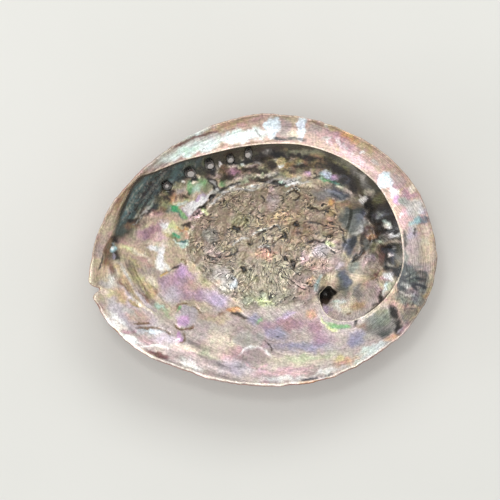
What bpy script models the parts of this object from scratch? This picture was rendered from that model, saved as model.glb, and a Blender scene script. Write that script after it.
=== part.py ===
"""Abalone shell: one natural piece, lying on its domed back with the pearl hollow facing up.

The shell is drawn in a plan seen straight into the hollow: +X to the spire end, +Y to the broad
shelf, +Z out of the hollow. Its outer side is a dome over the rim's outline. The pearl side is
that dome moved in by the wall's thickness, with the shelf, the coiled lip, the muscle scar, the
blisters and the breathing holes worked into it. Both sides are triangulated over the same rim,
closed along it and through the holes, and the whole is tipped onto the spot that it rests on.
"""

import math

import bpy
import numpy as np
from mathutils import Matrix, Vector
from mathutils.geometry import delaunay_2d_cdt

MM = 0.001

# Driving dimensions, in millimetres
DEPTH = 48.0            # rim plane to the crown of the dome
WALL = 4.6              # thickness of the wall away from the rim
RIM_WALL = 1.5          # thickness of the outer lip at its edge
SHELF_RIM = 1.6         # the shelf's rim is this much thicker than the outer lip
RIM_TAPER = 20.0        # the wall reaches its full thickness this far in from the rim
REST_CUT = 1.5          # how much of the crown is worn flat where the shell rests
RIM_WAVE = 1.8          # the rim rises and dips by this much round its course

# How the shell lies once it is set down on its crown
REST_ROLL = 1.2         # degrees about X
REST_PITCH = 1.0        # degrees about Y

# The plan, in millimetres
CROWN = np.array([-7.0, 13.5])
APEX = np.array([36.0, -26.5])
RIM = [
    (-95.0, -18.5), (-94.5, -8.0), (-92.5, 2.0), (-88.0, 14.5), (-82.5, 25.5), (-75.0, 34.5),
    (-67.0, 43.0), (-57.5, 51.0), (-45.5, 59.0), (-32.0, 66.0), (-17.0, 71.0), (-4.0, 74.0),
    (7.0, 74.0), (20.5, 72.5), (33.0, 69.5), (48.0, 63.5), (63.0, 55.0), (75.0, 44.5),
    (85.0, 31.5), (91.5, 16.5), (95.0, 1.5), (95.0, -10.0), (92.5, -22.0), (86.5, -34.0),
    (79.0, -44.5), (71.5, -51.5), (61.5, -59.0), (49.0, -66.0), (34.0, -72.0), (17.5, -75.0),
    (-0.5, -75.5), (-17.0, -74.0), (-31.0, -71.0), (-45.5, -66.0), (-59.5, -60.5), (-71.5, -53.5),
    (-81.5, -44.5), (-87.5, -37.0), (-91.5, -30.0), (-93.0, -26.0),
]
NOTCH = [(-90.0, -22.0)]  # the newest breathing hole, still an open notch in the rim

# The lip's route from the front notch round the shelf and into the coil: plan x and y, height of
# its edge, how far it leans over the hollow, how far the hollow runs under it, and whether the
# ground outside it is shelf (1) or bowl (0)
LIP = [
    (-90.0, -13.0, -1.5, 0.0, 0.0, 0.0),
    (-88.5, -2.0, -2.0, 0.3, 0.3, 1.0),
    (-83.5, 8.5, -2.5, 0.5, 0.5, 1.0),
    (-79.0, 22.0, -3.0, 0.7, 0.8, 1.0),
    (-72.5, 35.0, -3.0, 0.8, 1.2, 1.0),
    (-67.5, 40.0, -3.0, 0.9, 1.6, 1.0),
    (-59.0, 43.5, -3.0, 1.0, 2.2, 1.0),
    (-45.5, 49.0, -3.0, 1.2, 3.0, 1.0),
    (-29.5, 53.5, -3.0, 1.5, 3.5, 1.0),
    (-13.0, 57.5, -3.0, 1.8, 4.0, 1.0),
    (4.0, 59.5, -3.0, 2.0, 4.0, 1.0),
    (20.5, 59.0, -3.0, 2.0, 4.5, 1.0),
    (34.5, 55.5, -3.0, 2.0, 5.0, 1.0),
    (48.5, 49.0, -3.0, 2.0, 5.0, 1.0),
    (63.0, 37.5, -3.4, 2.0, 5.0, 1.0),
    (72.0, 23.5, -3.8, 2.0, 5.0, 1.0),
    (77.0, 10.5, -4.2, 2.0, 5.0, 1.0),
    (78.5, 0.5, -4.5, 2.0, 5.0, 1.0),
    (78.5, -8.5, -5.0, 2.0, 5.0, 1.0),
    (76.0, -17.0, -5.6, 2.0, 4.5, 1.0),
    (70.0, -27.0, -7.0, 1.8, 3.2, 0.9),
    (62.5, -35.5, -9.2, 1.6, 2.2, 0.6),
    (53.5, -42.5, -12.0, 1.4, 1.6, 0.0),
    (43.5, -43.5, -15.2, 1.4, 1.2, 0.0),
    (35.5, -40.0, -18.8, 1.4, 1.0, 0.0),
    (31.0, -33.5, -22.2, 1.3, 1.0, 0.0),
    (30.0, -26.5, -25.5, 1.2, 0.8, 0.0),
    (33.5, -22.0, -28.0, 1.0, 0.6, 0.0),
    (38.5, -19.5, -30.5, 0.5, 0.5, 0.0),
    (42.5, -22.0, -32.5, 0.0, 0.0, 0.0),
]
LIP_FADE = 14.0         # the coil's end sinks into the bowl over this length
LIP_MOUND = 9.0         # the lip swells up from the bowl outside it over this distance
UNDER_REACH = 9.0       # the undercut is felt this far in from the lip
UNDER_REACH_COIL = 3.5  # and this far in the tight coil
COIL_LENGTH = 45.0      # length of lip that counts as the tight coil

# Breathing holes from the oldest open one forwards: plan x and y, and radius
HOLES = [
    (-8.0, 55.0, 2.3),
    (-18.5, 52.0, 2.4),
    (-30.5, 49.0, 2.8),
    (-42.0, 44.5, 3.0),
    (-55.0, 37.0, 3.4),
]
HOLE_SQUASH = 0.85      # a hole is this much narrower across the row
# The row that the holes grow along, from the old sealed ones at the back to the front notch
ROW = [
    (70.0, 8.0), (63.0, 25.0), (51.0, 39.0), (37.0, 49.0), (24.0, 54.5), (12.0, 56.5), (2.0, 56.5),
    (-8.0, 55.0), (-18.5, 52.0), (-30.5, 49.0), (-42.0, 44.5), (-55.0, 37.0), (-65.5, 26.0),
    (-74.5, 15.5), (-82.0, 1.5), (-90.0, -20.0),
]
ROW_RIDGE = 2.6         # the row stands this far out of the dome
ROW_WIDTH = 7.0
HOLE_COLLAR = 1.6       # and each hole's collar this much further
# Sealed holes and waves on the wall, round the scar: plan x and y, radius, and height
WALL_BUMPS = [
    (3.5, 56.0, 3.2, 1.5),
    (15.0, 55.0, 3.6, 1.4),
    (27.5, 51.5, 4.2, 1.6),
    (61.5, 30.5, 4.4, 1.9),
    (68.0, 18.5, 4.4, 1.8),
    (73.0, 10.5, 4.6, 2.0),
    (74.5, -2.0, 4.4, 1.8),
    (58.0, 4.0, 5.0, 1.5),
    (54.0, -6.5, 6.0, 1.3),
    (66.5, -9.5, 6.0, 1.5),
    (61.0, -22.5, 5.0, 1.2),
    (-13.5, 47.5, 3.4, 1.0),
    (-25.0, 43.5, 3.6, 1.2),
    (-37.0, 39.0, 4.0, 1.3),
    (-48.5, 31.0, 4.2, 1.4),
    (-60.0, 21.5, 4.6, 1.4),
    (-69.5, 8.5, 5.0, 1.2),
]

# The chamber of the last whorl, which bulges outwards between the bowl and the coil
CHAMBER = [(58.0, 22.0), (63.0, 8.0), (64.0, -6.0), (60.0, -18.0), (51.0, -27.0), (41.0, -28.0)]
CHAMBER_DEPTH = 4.0
CHAMBER_WIDTH = 9.0
COIL_PIT = (35.5, -26.0, 3.6, 3.2)  # plan x and y, radius and depth of the hole in the coil
APEX_KNOB = 3.2

# The scar where the foot muscle held on: a raised, rough island in the bowl
SCAR = [
    (-45.0, -1.5), (-42.5, 13.0), (-34.0, 25.5), (-24.0, 32.5), (-10.5, 38.0), (5.5, 40.0),
    (22.0, 40.0), (35.5, 37.0), (47.0, 31.5), (51.0, 23.0), (50.0, 11.5), (48.0, 1.0),
    (44.5, -10.0), (34.0, -17.5), (26.5, -29.5), (20.0, -34.0), (5.0, -34.0), (-7.5, -34.0),
    (-18.0, -28.5), (-28.0, -20.5), (-39.0, -11.5),
]
SCAR_RISE = 1.3
SCAR_EDGE = 2.0
SCAR_ROUGHNESS = 0.55

# Blister pearls: plan x and y, radius and height
BLISTERS = [
    (-46.5, -39.0, 5.2, 1.1),
    (-46.5, -51.5, 2.8, 1.2),
    (-6.5, -62.0, 8.5, 1.3),
    (-83.0, -1.5, 3.0, 1.2),
]

# Growth: the rim turns about the apex and grows by this factor in each full turn
GROWTH_PER_TURN = 21.0
GROWTH_RATE = math.log(GROWTH_PER_TURN) / (2 * math.pi)
SUTURE_START = np.array([71.5, -51.5])
SUTURE_DEPTH = 0.10     # as a share of the distance to the apex
SUTURE_DEEPEST = 2.2
GROWTH_STEP = 0.17      # radians of growth between two ledges on the outside
GROWTH_HEIGHT = 1.7
CORDS = 30              # spiral cords round one turn of the outside
CORD_HEIGHT = 0.5
KNOB_SIZE = 24.0        # the outside is uneven, with knobs about this far apart
KNOB_HEIGHT = 0.7
WORN_FROM = 14.0        # the relief is rubbed away within this distance of the crown
WORN_TO = 40.0          # and whole beyond this one
WORN_LEFT = 0.25        # share of it that is left on the crown

# Mesh spacing, in millimetres
RIM_STEP = 4.2
LIP_STEP = 4.0
INNER_STEP = 3.8
OUTER_STEP = 4.2
HOLE_SIDES = 12
LIP_RINGS = (-7.0, -4.0, -2.2, -1.0, -0.3, 0.4, 1.3, 3.4, 7.0)
RIM_RINGS = (1.2, 3.4)


def smooth_curve(points, spacing, closed=False):
    """Points every spacing or so along a Catmull-Rom curve through the given rows."""
    rows = np.array(points, float)
    if closed:
        padded = np.vstack([rows[-1:], rows, rows[:2]])
    else:
        padded = np.vstack([2 * rows[:1] - rows[1:2], rows, 2 * rows[-1:] - rows[-2:-1]])
    fine = []
    share = np.linspace(0, 1, 24, endpoint=False)[:, None]
    for a, b, c, d in zip(padded, padded[1:], padded[2:], padded[3:]):
        fine.append(0.5 * (2 * b + (c - a) * share + (2 * a - 5 * b + 4 * c - d) * share**2
                           + (3 * b - a - 3 * c + d) * share**3))
    fine = np.vstack(fine + [rows[:1] if closed else rows[-1:]])
    along = np.concatenate([[0], np.cumsum(np.linalg.norm(np.diff(fine[:, :2], axis=0), axis=1))])
    count = max(3, round(along[-1] / spacing))
    stops = np.linspace(0, along[-1], count + 1)
    if closed:
        stops = stops[:-1]
    return np.column_stack([np.interp(stops, along, column) for column in fine.T])


def ease(value):
    """0 below 0, 1 above 1, and a smooth step between."""
    t = np.clip(value, 0, 1)
    return t * t * (3 - 2 * t)


class Track:
    """A plan curve that tells, for any points, how far off it they are and where along it."""

    def __init__(self, rows, closed=False):
        self.rows = smooth_curve(rows, 1.0, closed)
        ends = np.roll(self.rows, -1, axis=0) if closed else self.rows[1:]
        self.start = self.rows[: len(ends)]
        self.step = ends - self.start
        self.length = np.linalg.norm(self.step[:, :2], axis=1)
        self.along = np.concatenate([[0], np.cumsum(self.length)])

    def nearest(self, points):
        """(signed distance, place along, unit normal to the left, the rows there) for points."""
        flat = self.step[:, :2]
        away, place, side, rows = [], [], [], []
        for p in np.array_split(points, max(1, len(points) // 2000)):
            gap = p[:, None] - self.start[None, :, :2]
            share = np.clip((gap * flat).sum(2) / (self.length**2), 0, 1)
            off = gap - share[:, :, None] * flat
            best = np.argmin((off**2).sum(2), axis=1)
            pick = np.arange(len(p)), best
            left = np.column_stack([-flat[best, 1], flat[best, 0]]) / self.length[best, None]
            distance = np.linalg.norm(off[pick], axis=1)
            away.append(np.where((off[pick] * left).sum(1) < 0, -distance, distance))
            place.append(self.along[best] + share[pick] * self.length[best])
            side.append(left)
            rows.append(self.start[best] + share[pick][:, None] * self.step[best])
        return np.concatenate(away), np.concatenate(place), np.vstack(side), np.vstack(rows)


def inside(points, ring):
    """Whether each point lies inside the closed ring."""
    x, y = points[:, 0], points[:, 1]
    found = np.zeros(len(points), bool)
    for (x0, y0), (x1, y1) in zip(ring, np.roll(ring, -1, axis=0)):
        crosses = (y0 > y) != (y1 > y)
        with np.errstate(divide="ignore", invalid="ignore"):
            found ^= crosses & (x < (x1 - x0) * (y - y0) / (y1 - y0) + x0)
    return found


RIM_TRACK = Track(RIM, closed=True)
LIP_TRACK = Track(LIP)
ROW_TRACK = Track(ROW)
CHAMBER_TRACK = Track(CHAMBER)
SCAR_TRACK = Track(SCAR, closed=True)


def reach(points, centre):
    """(distance from centre, the rim's distance from centre the same way, the angle)."""
    ring = RIM_TRACK.rows[:, :2] - centre
    angle = np.arctan2(ring[:, 1], ring[:, 0])
    order = np.argsort(angle)
    off = points - centre
    turn = np.arctan2(off[:, 1], off[:, 0])
    rim = np.interp(turn, angle[order], np.linalg.norm(ring, axis=1)[order], period=2 * math.pi)
    return np.linalg.norm(off, axis=1), rim, turn


def growth_age(points):
    """How many radians of growth ago the rim passed over each point; 0 is the rim of today."""
    off = points - APEX
    radius = np.maximum(np.linalg.norm(off, axis=1), 0.5)
    turn = np.arctan2(off[:, 1], off[:, 0])
    ring = RIM_TRACK.rows[:, :2] - APEX
    angle = np.arctan2(ring[:, 1], ring[:, 0])
    order = np.argsort(angle)
    log_rim = np.log(np.linalg.norm(ring, axis=1))[order]
    low, high = np.zeros(len(points)), np.full(len(points), 14.0)
    for _ in range(30):
        middle = (low + high) / 2
        rim = np.interp(turn + middle, angle[order], log_rim, period=2 * math.pi)
        early = rim - GROWTH_RATE * middle > np.log(radius)
        low, high = np.where(early, middle, low), np.where(early, high, middle)
    return low


def suture_line():
    """Where each whorl met the one before: the back end of the lip, followed down the coil."""
    start = SUTURE_START - APEX
    rows = []
    for turn in np.linspace(0, 2.6 * math.pi, 90):
        shrink = math.exp(-GROWTH_RATE * turn)
        c, s = math.cos(-turn) * shrink, math.sin(-turn) * shrink
        rows.append((APEX[0] + c * start[0] - s * start[1], APEX[1] + s * start[0] + c * start[1]))
    return rows


SUTURE_TRACK = Track(suture_line())


def bell(points, x, y, radius):
    """A round hill of height 1."""
    return np.exp(-((points[:, 0] - x) ** 2 + (points[:, 1] - y) ** 2) / radius**2)


def dome(points):
    """Depth of the smooth outer side below the rim plane."""
    radius, rim, turn = reach(points, CROWN)
    fullness = 2.0 + 0.8 * np.maximum(0, np.cos(turn + math.radians(30))) ** 2
    depth = DEPTH * (1 - np.clip(radius / rim, 0, 1) ** fullness)
    off_row = ROW_TRACK.nearest(points)[0]
    depth += ROW_RIDGE * np.exp(-(off_row / ROW_WIDTH) ** 2) * ease((rim - radius) / 8)
    off_chamber = CHAMBER_TRACK.nearest(points)[0]
    depth += CHAMBER_DEPTH * np.exp(-(off_chamber / CHAMBER_WIDTH) ** 2)
    return depth + APEX_KNOB * bell(points, *APEX, 9.0)


def moved_in(points, thickness):
    """The dome's points, moved square to its surface into the hollow."""
    step = 0.4
    depth = dome(points)
    slope_x = (dome(points + (step, 0)) - dome(points - (step, 0))) / (2 * step)
    slope_y = (dome(points + (0, step)) - dome(points - (0, step))) / (2 * step)
    normal = np.column_stack([slope_x, slope_y, np.ones(len(points))])
    normal /= np.linalg.norm(normal, axis=1)[:, None]
    return np.column_stack([points, -depth]) + normal * thickness[:, None], normal


def rim_wave(points):
    """The slow rise and dip of the rim, which fades out towards the crown."""
    radius, rim, turn = reach(points, CROWN)
    return RIM_WAVE * np.sin(2 * turn + 0.6) * ease(radius / rim)


def from_rim(points):
    return np.abs(RIM_TRACK.nearest(points)[0])


def lumps(points, size):
    """A still, uneven pattern between -1 and 1 with features of about the given size."""
    x, y = points[:, 0] * 2 * math.pi / size, points[:, 1] * 2 * math.pi / size
    waves = np.sin(x * 0.9 + 1.3 * np.sin(y * 0.31)) * np.cos(y * 0.8 + 1.1 * np.sin(x * 0.37))
    return 0.6 * waves + 0.4 * np.sin(0.7 * x - 1.1 * y + 0.5) * np.sin(1.3 * x + 0.6 * y + 2.0)


def pearl_relief(points):
    """How far the pearl side stands up from the even wall."""
    off_scar = SCAR_TRACK.nearest(points)[0]
    scar = ease(np.where(inside(points, SCAR_TRACK.rows), np.abs(off_scar), 0) / SCAR_EDGE)
    relief = scar * (SCAR_RISE + SCAR_ROUGHNESS * lumps(points, 11.0))
    for x, y, radius, height in BLISTERS + WALL_BUMPS:
        relief += height * bell(points, x, y, radius)
    x, y, radius, depth = COIL_PIT
    return relief - depth * bell(points, x, y, radius)


def bowl(points):
    """The pearl side of the wall, without the shelf and the lip."""
    thickness = RIM_WALL + (WALL - RIM_WALL) * ease(from_rim(points) / RIM_TAPER)
    return moved_in(points, thickness + pearl_relief(points))[0]


def pearl_side(points):
    """Every point of the plan on the pearl side, with the shelf and the overhanging lip."""
    away, place, left, rows = LIP_TRACK.nearest(points)
    height, lean, under, shelf = rows[:, 2], rows[:, 3], rows[:, 4], rows[:, 5]
    to_end = LIP_TRACK.along[-1] - place
    fade = ease(to_end / LIP_FADE) * ease(place / LIP_FADE)
    coil = ease(1 - (to_end - COIL_LENGTH * 0.4) / (COIL_LENGTH * 0.6))
    under_reach = UNDER_REACH + (UNDER_REACH_COIL - UNDER_REACH) * coil
    # Inside the lip the bowl runs out beneath it
    slide = under * fade * np.where(away < 0, ease(1 + away / under_reach) ** 2, 1)
    low = bowl(points + left * np.where(away < 1, slide, 0)[:, None])
    # Outside the lip lies the shelf, or a mound that rises from the bowl to the lip's edge
    plain = bowl(points)
    rim_gap = from_rim(points)
    share = np.abs(away) / (np.abs(away) + rim_gap + 1e-6)
    hollow = 0.4 * np.minimum(np.abs(away) + rim_gap, 22.0)
    shelf_height = height * (1 - share) + (RIM_WALL + SHELF_RIM) * share
    shelf_height -= hollow * share * (1 - share)
    shelf_point = np.column_stack([points, shelf_height])
    high = plain + (shelf_point - plain) * (shelf * fade)[:, None]
    mound = fade * (1 - shelf) * np.exp(-(away / LIP_MOUND) ** 2)
    high[:, 2] += mound * np.maximum(height - high[:, 2], 0)
    lean_share = np.where(away < 1.5, 1, ease(1 - (away - 1.5) / 9.0))
    high[:, :2] -= left * (lean * fade * lean_share)[:, None]
    rise = ease((away + 1.0) / 1.4)
    side = low + (high - low) * rise[:, None]
    side[:, 2] += rim_wave(points)
    return side


def outer_side(points):
    """Every point of the plan on the outside, with its whorls, growth ledges and collars."""
    depth = dome(points)
    off_suture, _, _, rows = SUTURE_TRACK.nearest(points)
    from_apex = np.linalg.norm(rows[:, :2] - APEX, axis=1)
    groove = np.minimum(SUTURE_DEPTH * from_apex, SUTURE_DEEPEST)
    rim_gap = from_rim(points)
    edge = ease(rim_gap / 10)
    depth -= groove * np.exp(-(off_suture / (1.5 + 0.11 * from_apex)) ** 2) * edge
    age = growth_age(points)
    ledge = 1 - np.mod(age / GROWTH_STEP, 1)
    off = points - APEX
    cord = np.cos(CORDS * (np.arctan2(off[:, 1], off[:, 0]) + age))
    relief = GROWTH_HEIGHT * (ledge - 0.5) + CORD_HEIGHT * cord
    relief += KNOB_HEIGHT * lumps(points, KNOB_SIZE)
    from_crown = np.linalg.norm(points - CROWN, axis=1)
    whole = WORN_LEFT + (1 - WORN_LEFT) * ease((from_crown - WORN_FROM) / (WORN_TO - WORN_FROM))
    depth += relief * whole * ease(rim_gap / 6) * ease(1 - age / 5)
    for x, y, radius in HOLES:
        away = np.hypot(points[:, 0] - x, points[:, 1] - y)
        depth += HOLE_COLLAR * np.exp(-((away - radius) / 2.4) ** 2)
    return np.column_stack([points, rim_wave(points) - depth])


def hole_loops():
    """The breathing holes in plan, each narrowed across the row."""
    loops = []
    for x, y, radius in HOLES:
        left = ROW_TRACK.nearest(np.array([(x, y)]))[2][0]
        along = np.array([left[1], -left[0]])
        turns = np.arange(HOLE_SIDES) * 2 * math.pi / HOLE_SIDES
        loops.append(np.array([(x, y)]) + radius * np.outer(np.cos(turns), along)
                     + radius * HOLE_SQUASH * np.outer(np.sin(turns), left))
    return loops


def honeycomb(spacing, edge_gap):
    """Points of a triangular grid that stay edge_gap inside the rim."""
    rows = []
    height = spacing * math.sqrt(0.75)
    for j in range(-24, 25):
        for i in range(-32, 33):
            rows.append(((i + 0.5 * (j % 2)) * spacing, j * height))
    grid = np.array(rows)
    grid = grid[inside(grid, rim_ring())]
    return grid[from_rim(grid) > edge_gap]


def rim_ring():
    return smooth_curve(RIM + NOTCH, RIM_STEP, closed=True)


def clear_of(points, others, gap):
    """The points that keep gap from every one of the others."""
    if not len(others):
        return points
    near = np.array([np.min(((others - p) ** 2).sum(1)) for p in points])
    return points[near > gap**2]


def triangulate(rings, strings, loose):
    """Triangles over the rim with the rings as borders and the strings as creases."""
    places, edges = [], []
    for ring in rings:
        first = len(places)
        places += list(ring)
        edges += [(first + i, first + (i + 1) % len(ring)) for i in range(len(ring))]
    for string in strings:
        first = len(places)
        places += list(string)
        edges += [(first + i, first + i + 1) for i in range(len(string) - 1)]
    places += list(loose)
    found = delaunay_2d_cdt([Vector(p) for p in places], edges, [], 0, 1e-6)
    plan = np.array([tuple(v) for v in found[0]])
    faces = np.array([f for f in found[2] if len(f) == 3])
    middle = plan[faces].mean(1)
    keep = inside(middle, rings[0])
    for hole in rings[1:]:
        keep &= ~inside(middle, hole)
    if len(plan) != len(places):
        raise ValueError("two plan points fell together, so the rings would not match")
    return plan, faces[keep]


def upwards(plan, faces):
    """The faces, each turned to run anticlockwise in the plan."""
    a, b, c = plan[faces[:, 0]], plan[faces[:, 1]], plan[faces[:, 2]]
    area = (b - a)[:, 0] * (c - a)[:, 1] - (b - a)[:, 1] * (c - a)[:, 0]
    turned = faces.copy()
    turned[area < 0] = turned[area < 0][:, ::-1]
    return turned


def lip_strings():
    """Copies of the lip's route at several distances, where they don't cross themselves."""
    route = smooth_curve(LIP, LIP_STEP)[:, :2]
    forward = np.gradient(route, axis=0)
    forward /= np.linalg.norm(forward, axis=1)[:, None]
    left = np.column_stack([-forward[:, 1], forward[:, 0]])
    creases, loose = [], []
    for distance in LIP_RINGS:
        ring = route + left * distance
        away = LIP_TRACK.nearest(ring)[0]
        good = (np.abs(away) > abs(distance) * 0.93) & inside(ring, rim_ring())
        good &= from_rim(ring) > 1.6
        if abs(distance) > 1.5:
            loose.append(ring[good])
            continue
        runs = np.split(np.arange(len(ring)), np.flatnonzero(~good))
        for run in runs:
            run = run[good[run]]
            if len(run) > 1:
                creases.append(ring[run])
    return creases, np.vstack(loose)


def rim_bands():
    """Copies of the rim a little way in."""
    ring = rim_ring()
    forward = np.roll(ring, -1, axis=0) - np.roll(ring, 1, axis=0)
    forward /= np.linalg.norm(forward, axis=1)[:, None]
    inwards = np.column_stack([forward[:, 1], -forward[:, 0]])
    bands = np.vstack([ring + inwards * gap for gap in RIM_RINGS])
    return bands[inside(bands, ring)]


def shell_mesh():
    """(points, faces) of the closed shell in plan coordinates, in millimetres."""
    rim, holes = rim_ring(), hole_loops()
    creases, loose = lip_strings()
    fixed = np.vstack([rim, *holes, *creases])
    loose = clear_of(loose, np.vstack([rim, *holes]), 1.6)
    bands = clear_of(rim_bands(), np.vstack([*holes, *creases, loose]), 1.4)
    fixed = np.vstack([fixed, loose, bands])
    inner_fill = clear_of(honeycomb(INNER_STEP, 5.5), fixed, INNER_STEP * 0.62)
    inner_plan, inner_faces = triangulate(
        [rim, *holes], creases, np.vstack([loose, bands, inner_fill]))
    collars = np.vstack([loop + (loop - loop.mean(0)) * 0.75 for loop in holes])
    outer_fill = honeycomb(OUTER_STEP, 3.5)
    outer_fill = clear_of(outer_fill, np.vstack([*holes, collars]), 2.4)
    outer_plan, outer_faces = triangulate([rim, *holes], [], np.vstack([collars, outer_fill]))

    pearl, crust = pearl_side(inner_plan), outer_side(outer_plan)
    first = len(pearl)
    faces = [tuple(f) for f in upwards(inner_plan, inner_faces)]
    faces += [tuple(int(i) + first for i in f[::-1]) for f in upwards(outer_plan, outer_faces)]
    start = 0
    for ring in [rim, *holes]:
        count = len(ring)
        area = (ring[:, 0] * np.roll(ring[:, 1], -1) - np.roll(ring[:, 0], -1) * ring[:, 1]).sum()
        outward = area > 0 if start == 0 else area < 0
        for i in range(count):
            a, b = start + i, start + (i + 1) % count
            quad = (a, a + first, b + first, b)
            faces.append(quad if outward else quad[::-1])
        start += count
    return np.vstack([pearl, crust]), faces


def set_down(points):
    """Tips the shell onto its crown, wears the contact flat and centres it over the origin."""
    turn = (Matrix.Rotation(math.radians(REST_PITCH), 3, "Y")
            @ Matrix.Rotation(math.radians(REST_ROLL), 3, "X"))
    tipped = points @ np.array(turn).T
    floor = tipped[:, 2].min() + REST_CUT
    tipped[:, 2] = np.maximum(tipped[:, 2], floor)
    low, high = tipped.min(0), tipped.max(0)
    return tipped - ((low[0] + high[0]) / 2, (low[1] + high[1]) / 2, floor)


def shell_material():
    material = bpy.data.materials.new("mother_of_pearl")
    material.use_nodes = True
    surface = material.node_tree.nodes["Principled BSDF"]
    surface.inputs["Base Color"].default_value = (0.62, 0.52, 0.50, 1)
    surface.inputs["Roughness"].default_value = 0.3
    surface.inputs["Metallic"].default_value = 0.15
    return material


def build_shell():
    points, faces = shell_mesh()
    mesh = bpy.data.meshes.new("shell")
    mesh.from_pydata((set_down(points) * MM).tolist(), [], faces)
    mesh.validate()
    mesh.shade_smooth()
    mesh.set_sharp_from_angle(angle=math.radians(50))
    mesh.materials.append(shell_material())
    shell = bpy.data.objects.new("shell", mesh)
    bpy.context.scene.collection.objects.link(shell)
    return shell


for old in list(bpy.data.objects):
    bpy.data.objects.remove(old)
build_shell()
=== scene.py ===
# %% [markdown]
# An abalone shell lies on its back, with its mother of pearl facing up. The imported model comes in
# first, as a frame that nothing here moves. It gives the real size and the resting place. The
# shell's fine skin is then grown over the same curves, finely enough to show pores, folds and the
# rough scar, and it takes the plain solid's place in the picture.

# %% Load the frame
import math

import bpy
import numpy as np
from mathutils import Matrix, Vector, kdtree
from mathutils.geometry import delaunay_2d_cdt


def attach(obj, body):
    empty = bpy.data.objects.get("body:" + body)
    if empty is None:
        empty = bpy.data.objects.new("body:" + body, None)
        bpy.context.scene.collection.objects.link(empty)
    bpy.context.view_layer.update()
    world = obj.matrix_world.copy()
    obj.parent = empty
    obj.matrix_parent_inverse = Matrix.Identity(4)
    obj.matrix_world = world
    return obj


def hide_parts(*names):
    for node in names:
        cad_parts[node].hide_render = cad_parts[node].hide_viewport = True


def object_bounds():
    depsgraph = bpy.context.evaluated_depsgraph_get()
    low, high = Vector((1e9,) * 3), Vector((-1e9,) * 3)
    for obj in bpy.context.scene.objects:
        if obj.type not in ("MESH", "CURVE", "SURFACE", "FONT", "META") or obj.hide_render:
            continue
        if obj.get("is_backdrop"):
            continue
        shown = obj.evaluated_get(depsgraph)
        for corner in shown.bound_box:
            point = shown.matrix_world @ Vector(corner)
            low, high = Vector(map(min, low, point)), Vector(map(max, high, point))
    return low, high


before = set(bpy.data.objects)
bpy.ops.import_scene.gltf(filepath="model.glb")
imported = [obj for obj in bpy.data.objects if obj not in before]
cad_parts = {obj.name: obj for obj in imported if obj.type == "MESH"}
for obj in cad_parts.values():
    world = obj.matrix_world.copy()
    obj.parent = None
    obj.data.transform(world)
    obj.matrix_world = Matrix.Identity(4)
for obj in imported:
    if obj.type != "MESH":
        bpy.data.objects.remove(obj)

MM = 0.001
cad_low, cad_high = (np.array(corner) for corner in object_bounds())
print("the solid measures", np.round((cad_high - cad_low) / MM, 1), "mm")

# %% [markdown]
# A shell is drawn best in its own plan: look straight into the hollow, with the coil to the right
# and the broad shelf at the top. Every place below is in millimetres of that plan. Two curves
# carry most of the form. One is the rim. The other is the lip, the line where the shelf breaks
# off over the hollow and winds down into the coil.

# %% The plan of the shell
DEPTH = 48.0            # rim plane to the crown of the dome
WALL = 4.6              # thickness of the wall away from the rim
RIM_WALL = 1.5          # thickness of the outer lip at its edge
SHELF_RIM = 1.6         # the shelf's rim is this much thicker than the outer lip
RIM_TAPER = 20.0        # the wall reaches its full thickness this far in from the rim
RIM_WAVE = 1.8          # the rim rises and dips by this much round its course
REST_ROLL = 1.2         # degrees about X when the shell is set down
REST_PITCH = 1.0        # degrees about Y
CROWN = np.array([-7.0, 13.5])
APEX = np.array([36.0, -26.5])
RIM = [
    (-95.0, -18.5), (-94.5, -8.0), (-92.5, 2.0), (-88.0, 14.5), (-82.5, 25.5), (-75.0, 34.5),
    (-67.0, 43.0), (-57.5, 51.0), (-45.5, 59.0), (-32.0, 66.0), (-17.0, 71.0), (-4.0, 74.0),
    (7.0, 74.0), (20.5, 72.5), (33.0, 69.5), (48.0, 63.5), (63.0, 55.0), (75.0, 44.5),
    (85.0, 31.5), (91.5, 16.5), (95.0, 1.5), (95.0, -10.0), (92.5, -22.0), (86.5, -34.0),
    (79.0, -44.5), (71.5, -51.5), (61.5, -59.0), (49.0, -66.0), (34.0, -72.0), (17.5, -75.0),
    (-0.5, -75.5), (-17.0, -74.0), (-31.0, -71.0), (-45.5, -66.0), (-59.5, -60.5), (-71.5, -53.5),
    (-81.5, -44.5), (-87.5, -37.0), (-91.5, -30.0), (-93.0, -26.0),
]
NOTCH = [(-90.0, -22.0)]  # the newest breathing hole, still an open notch in the rim
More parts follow.
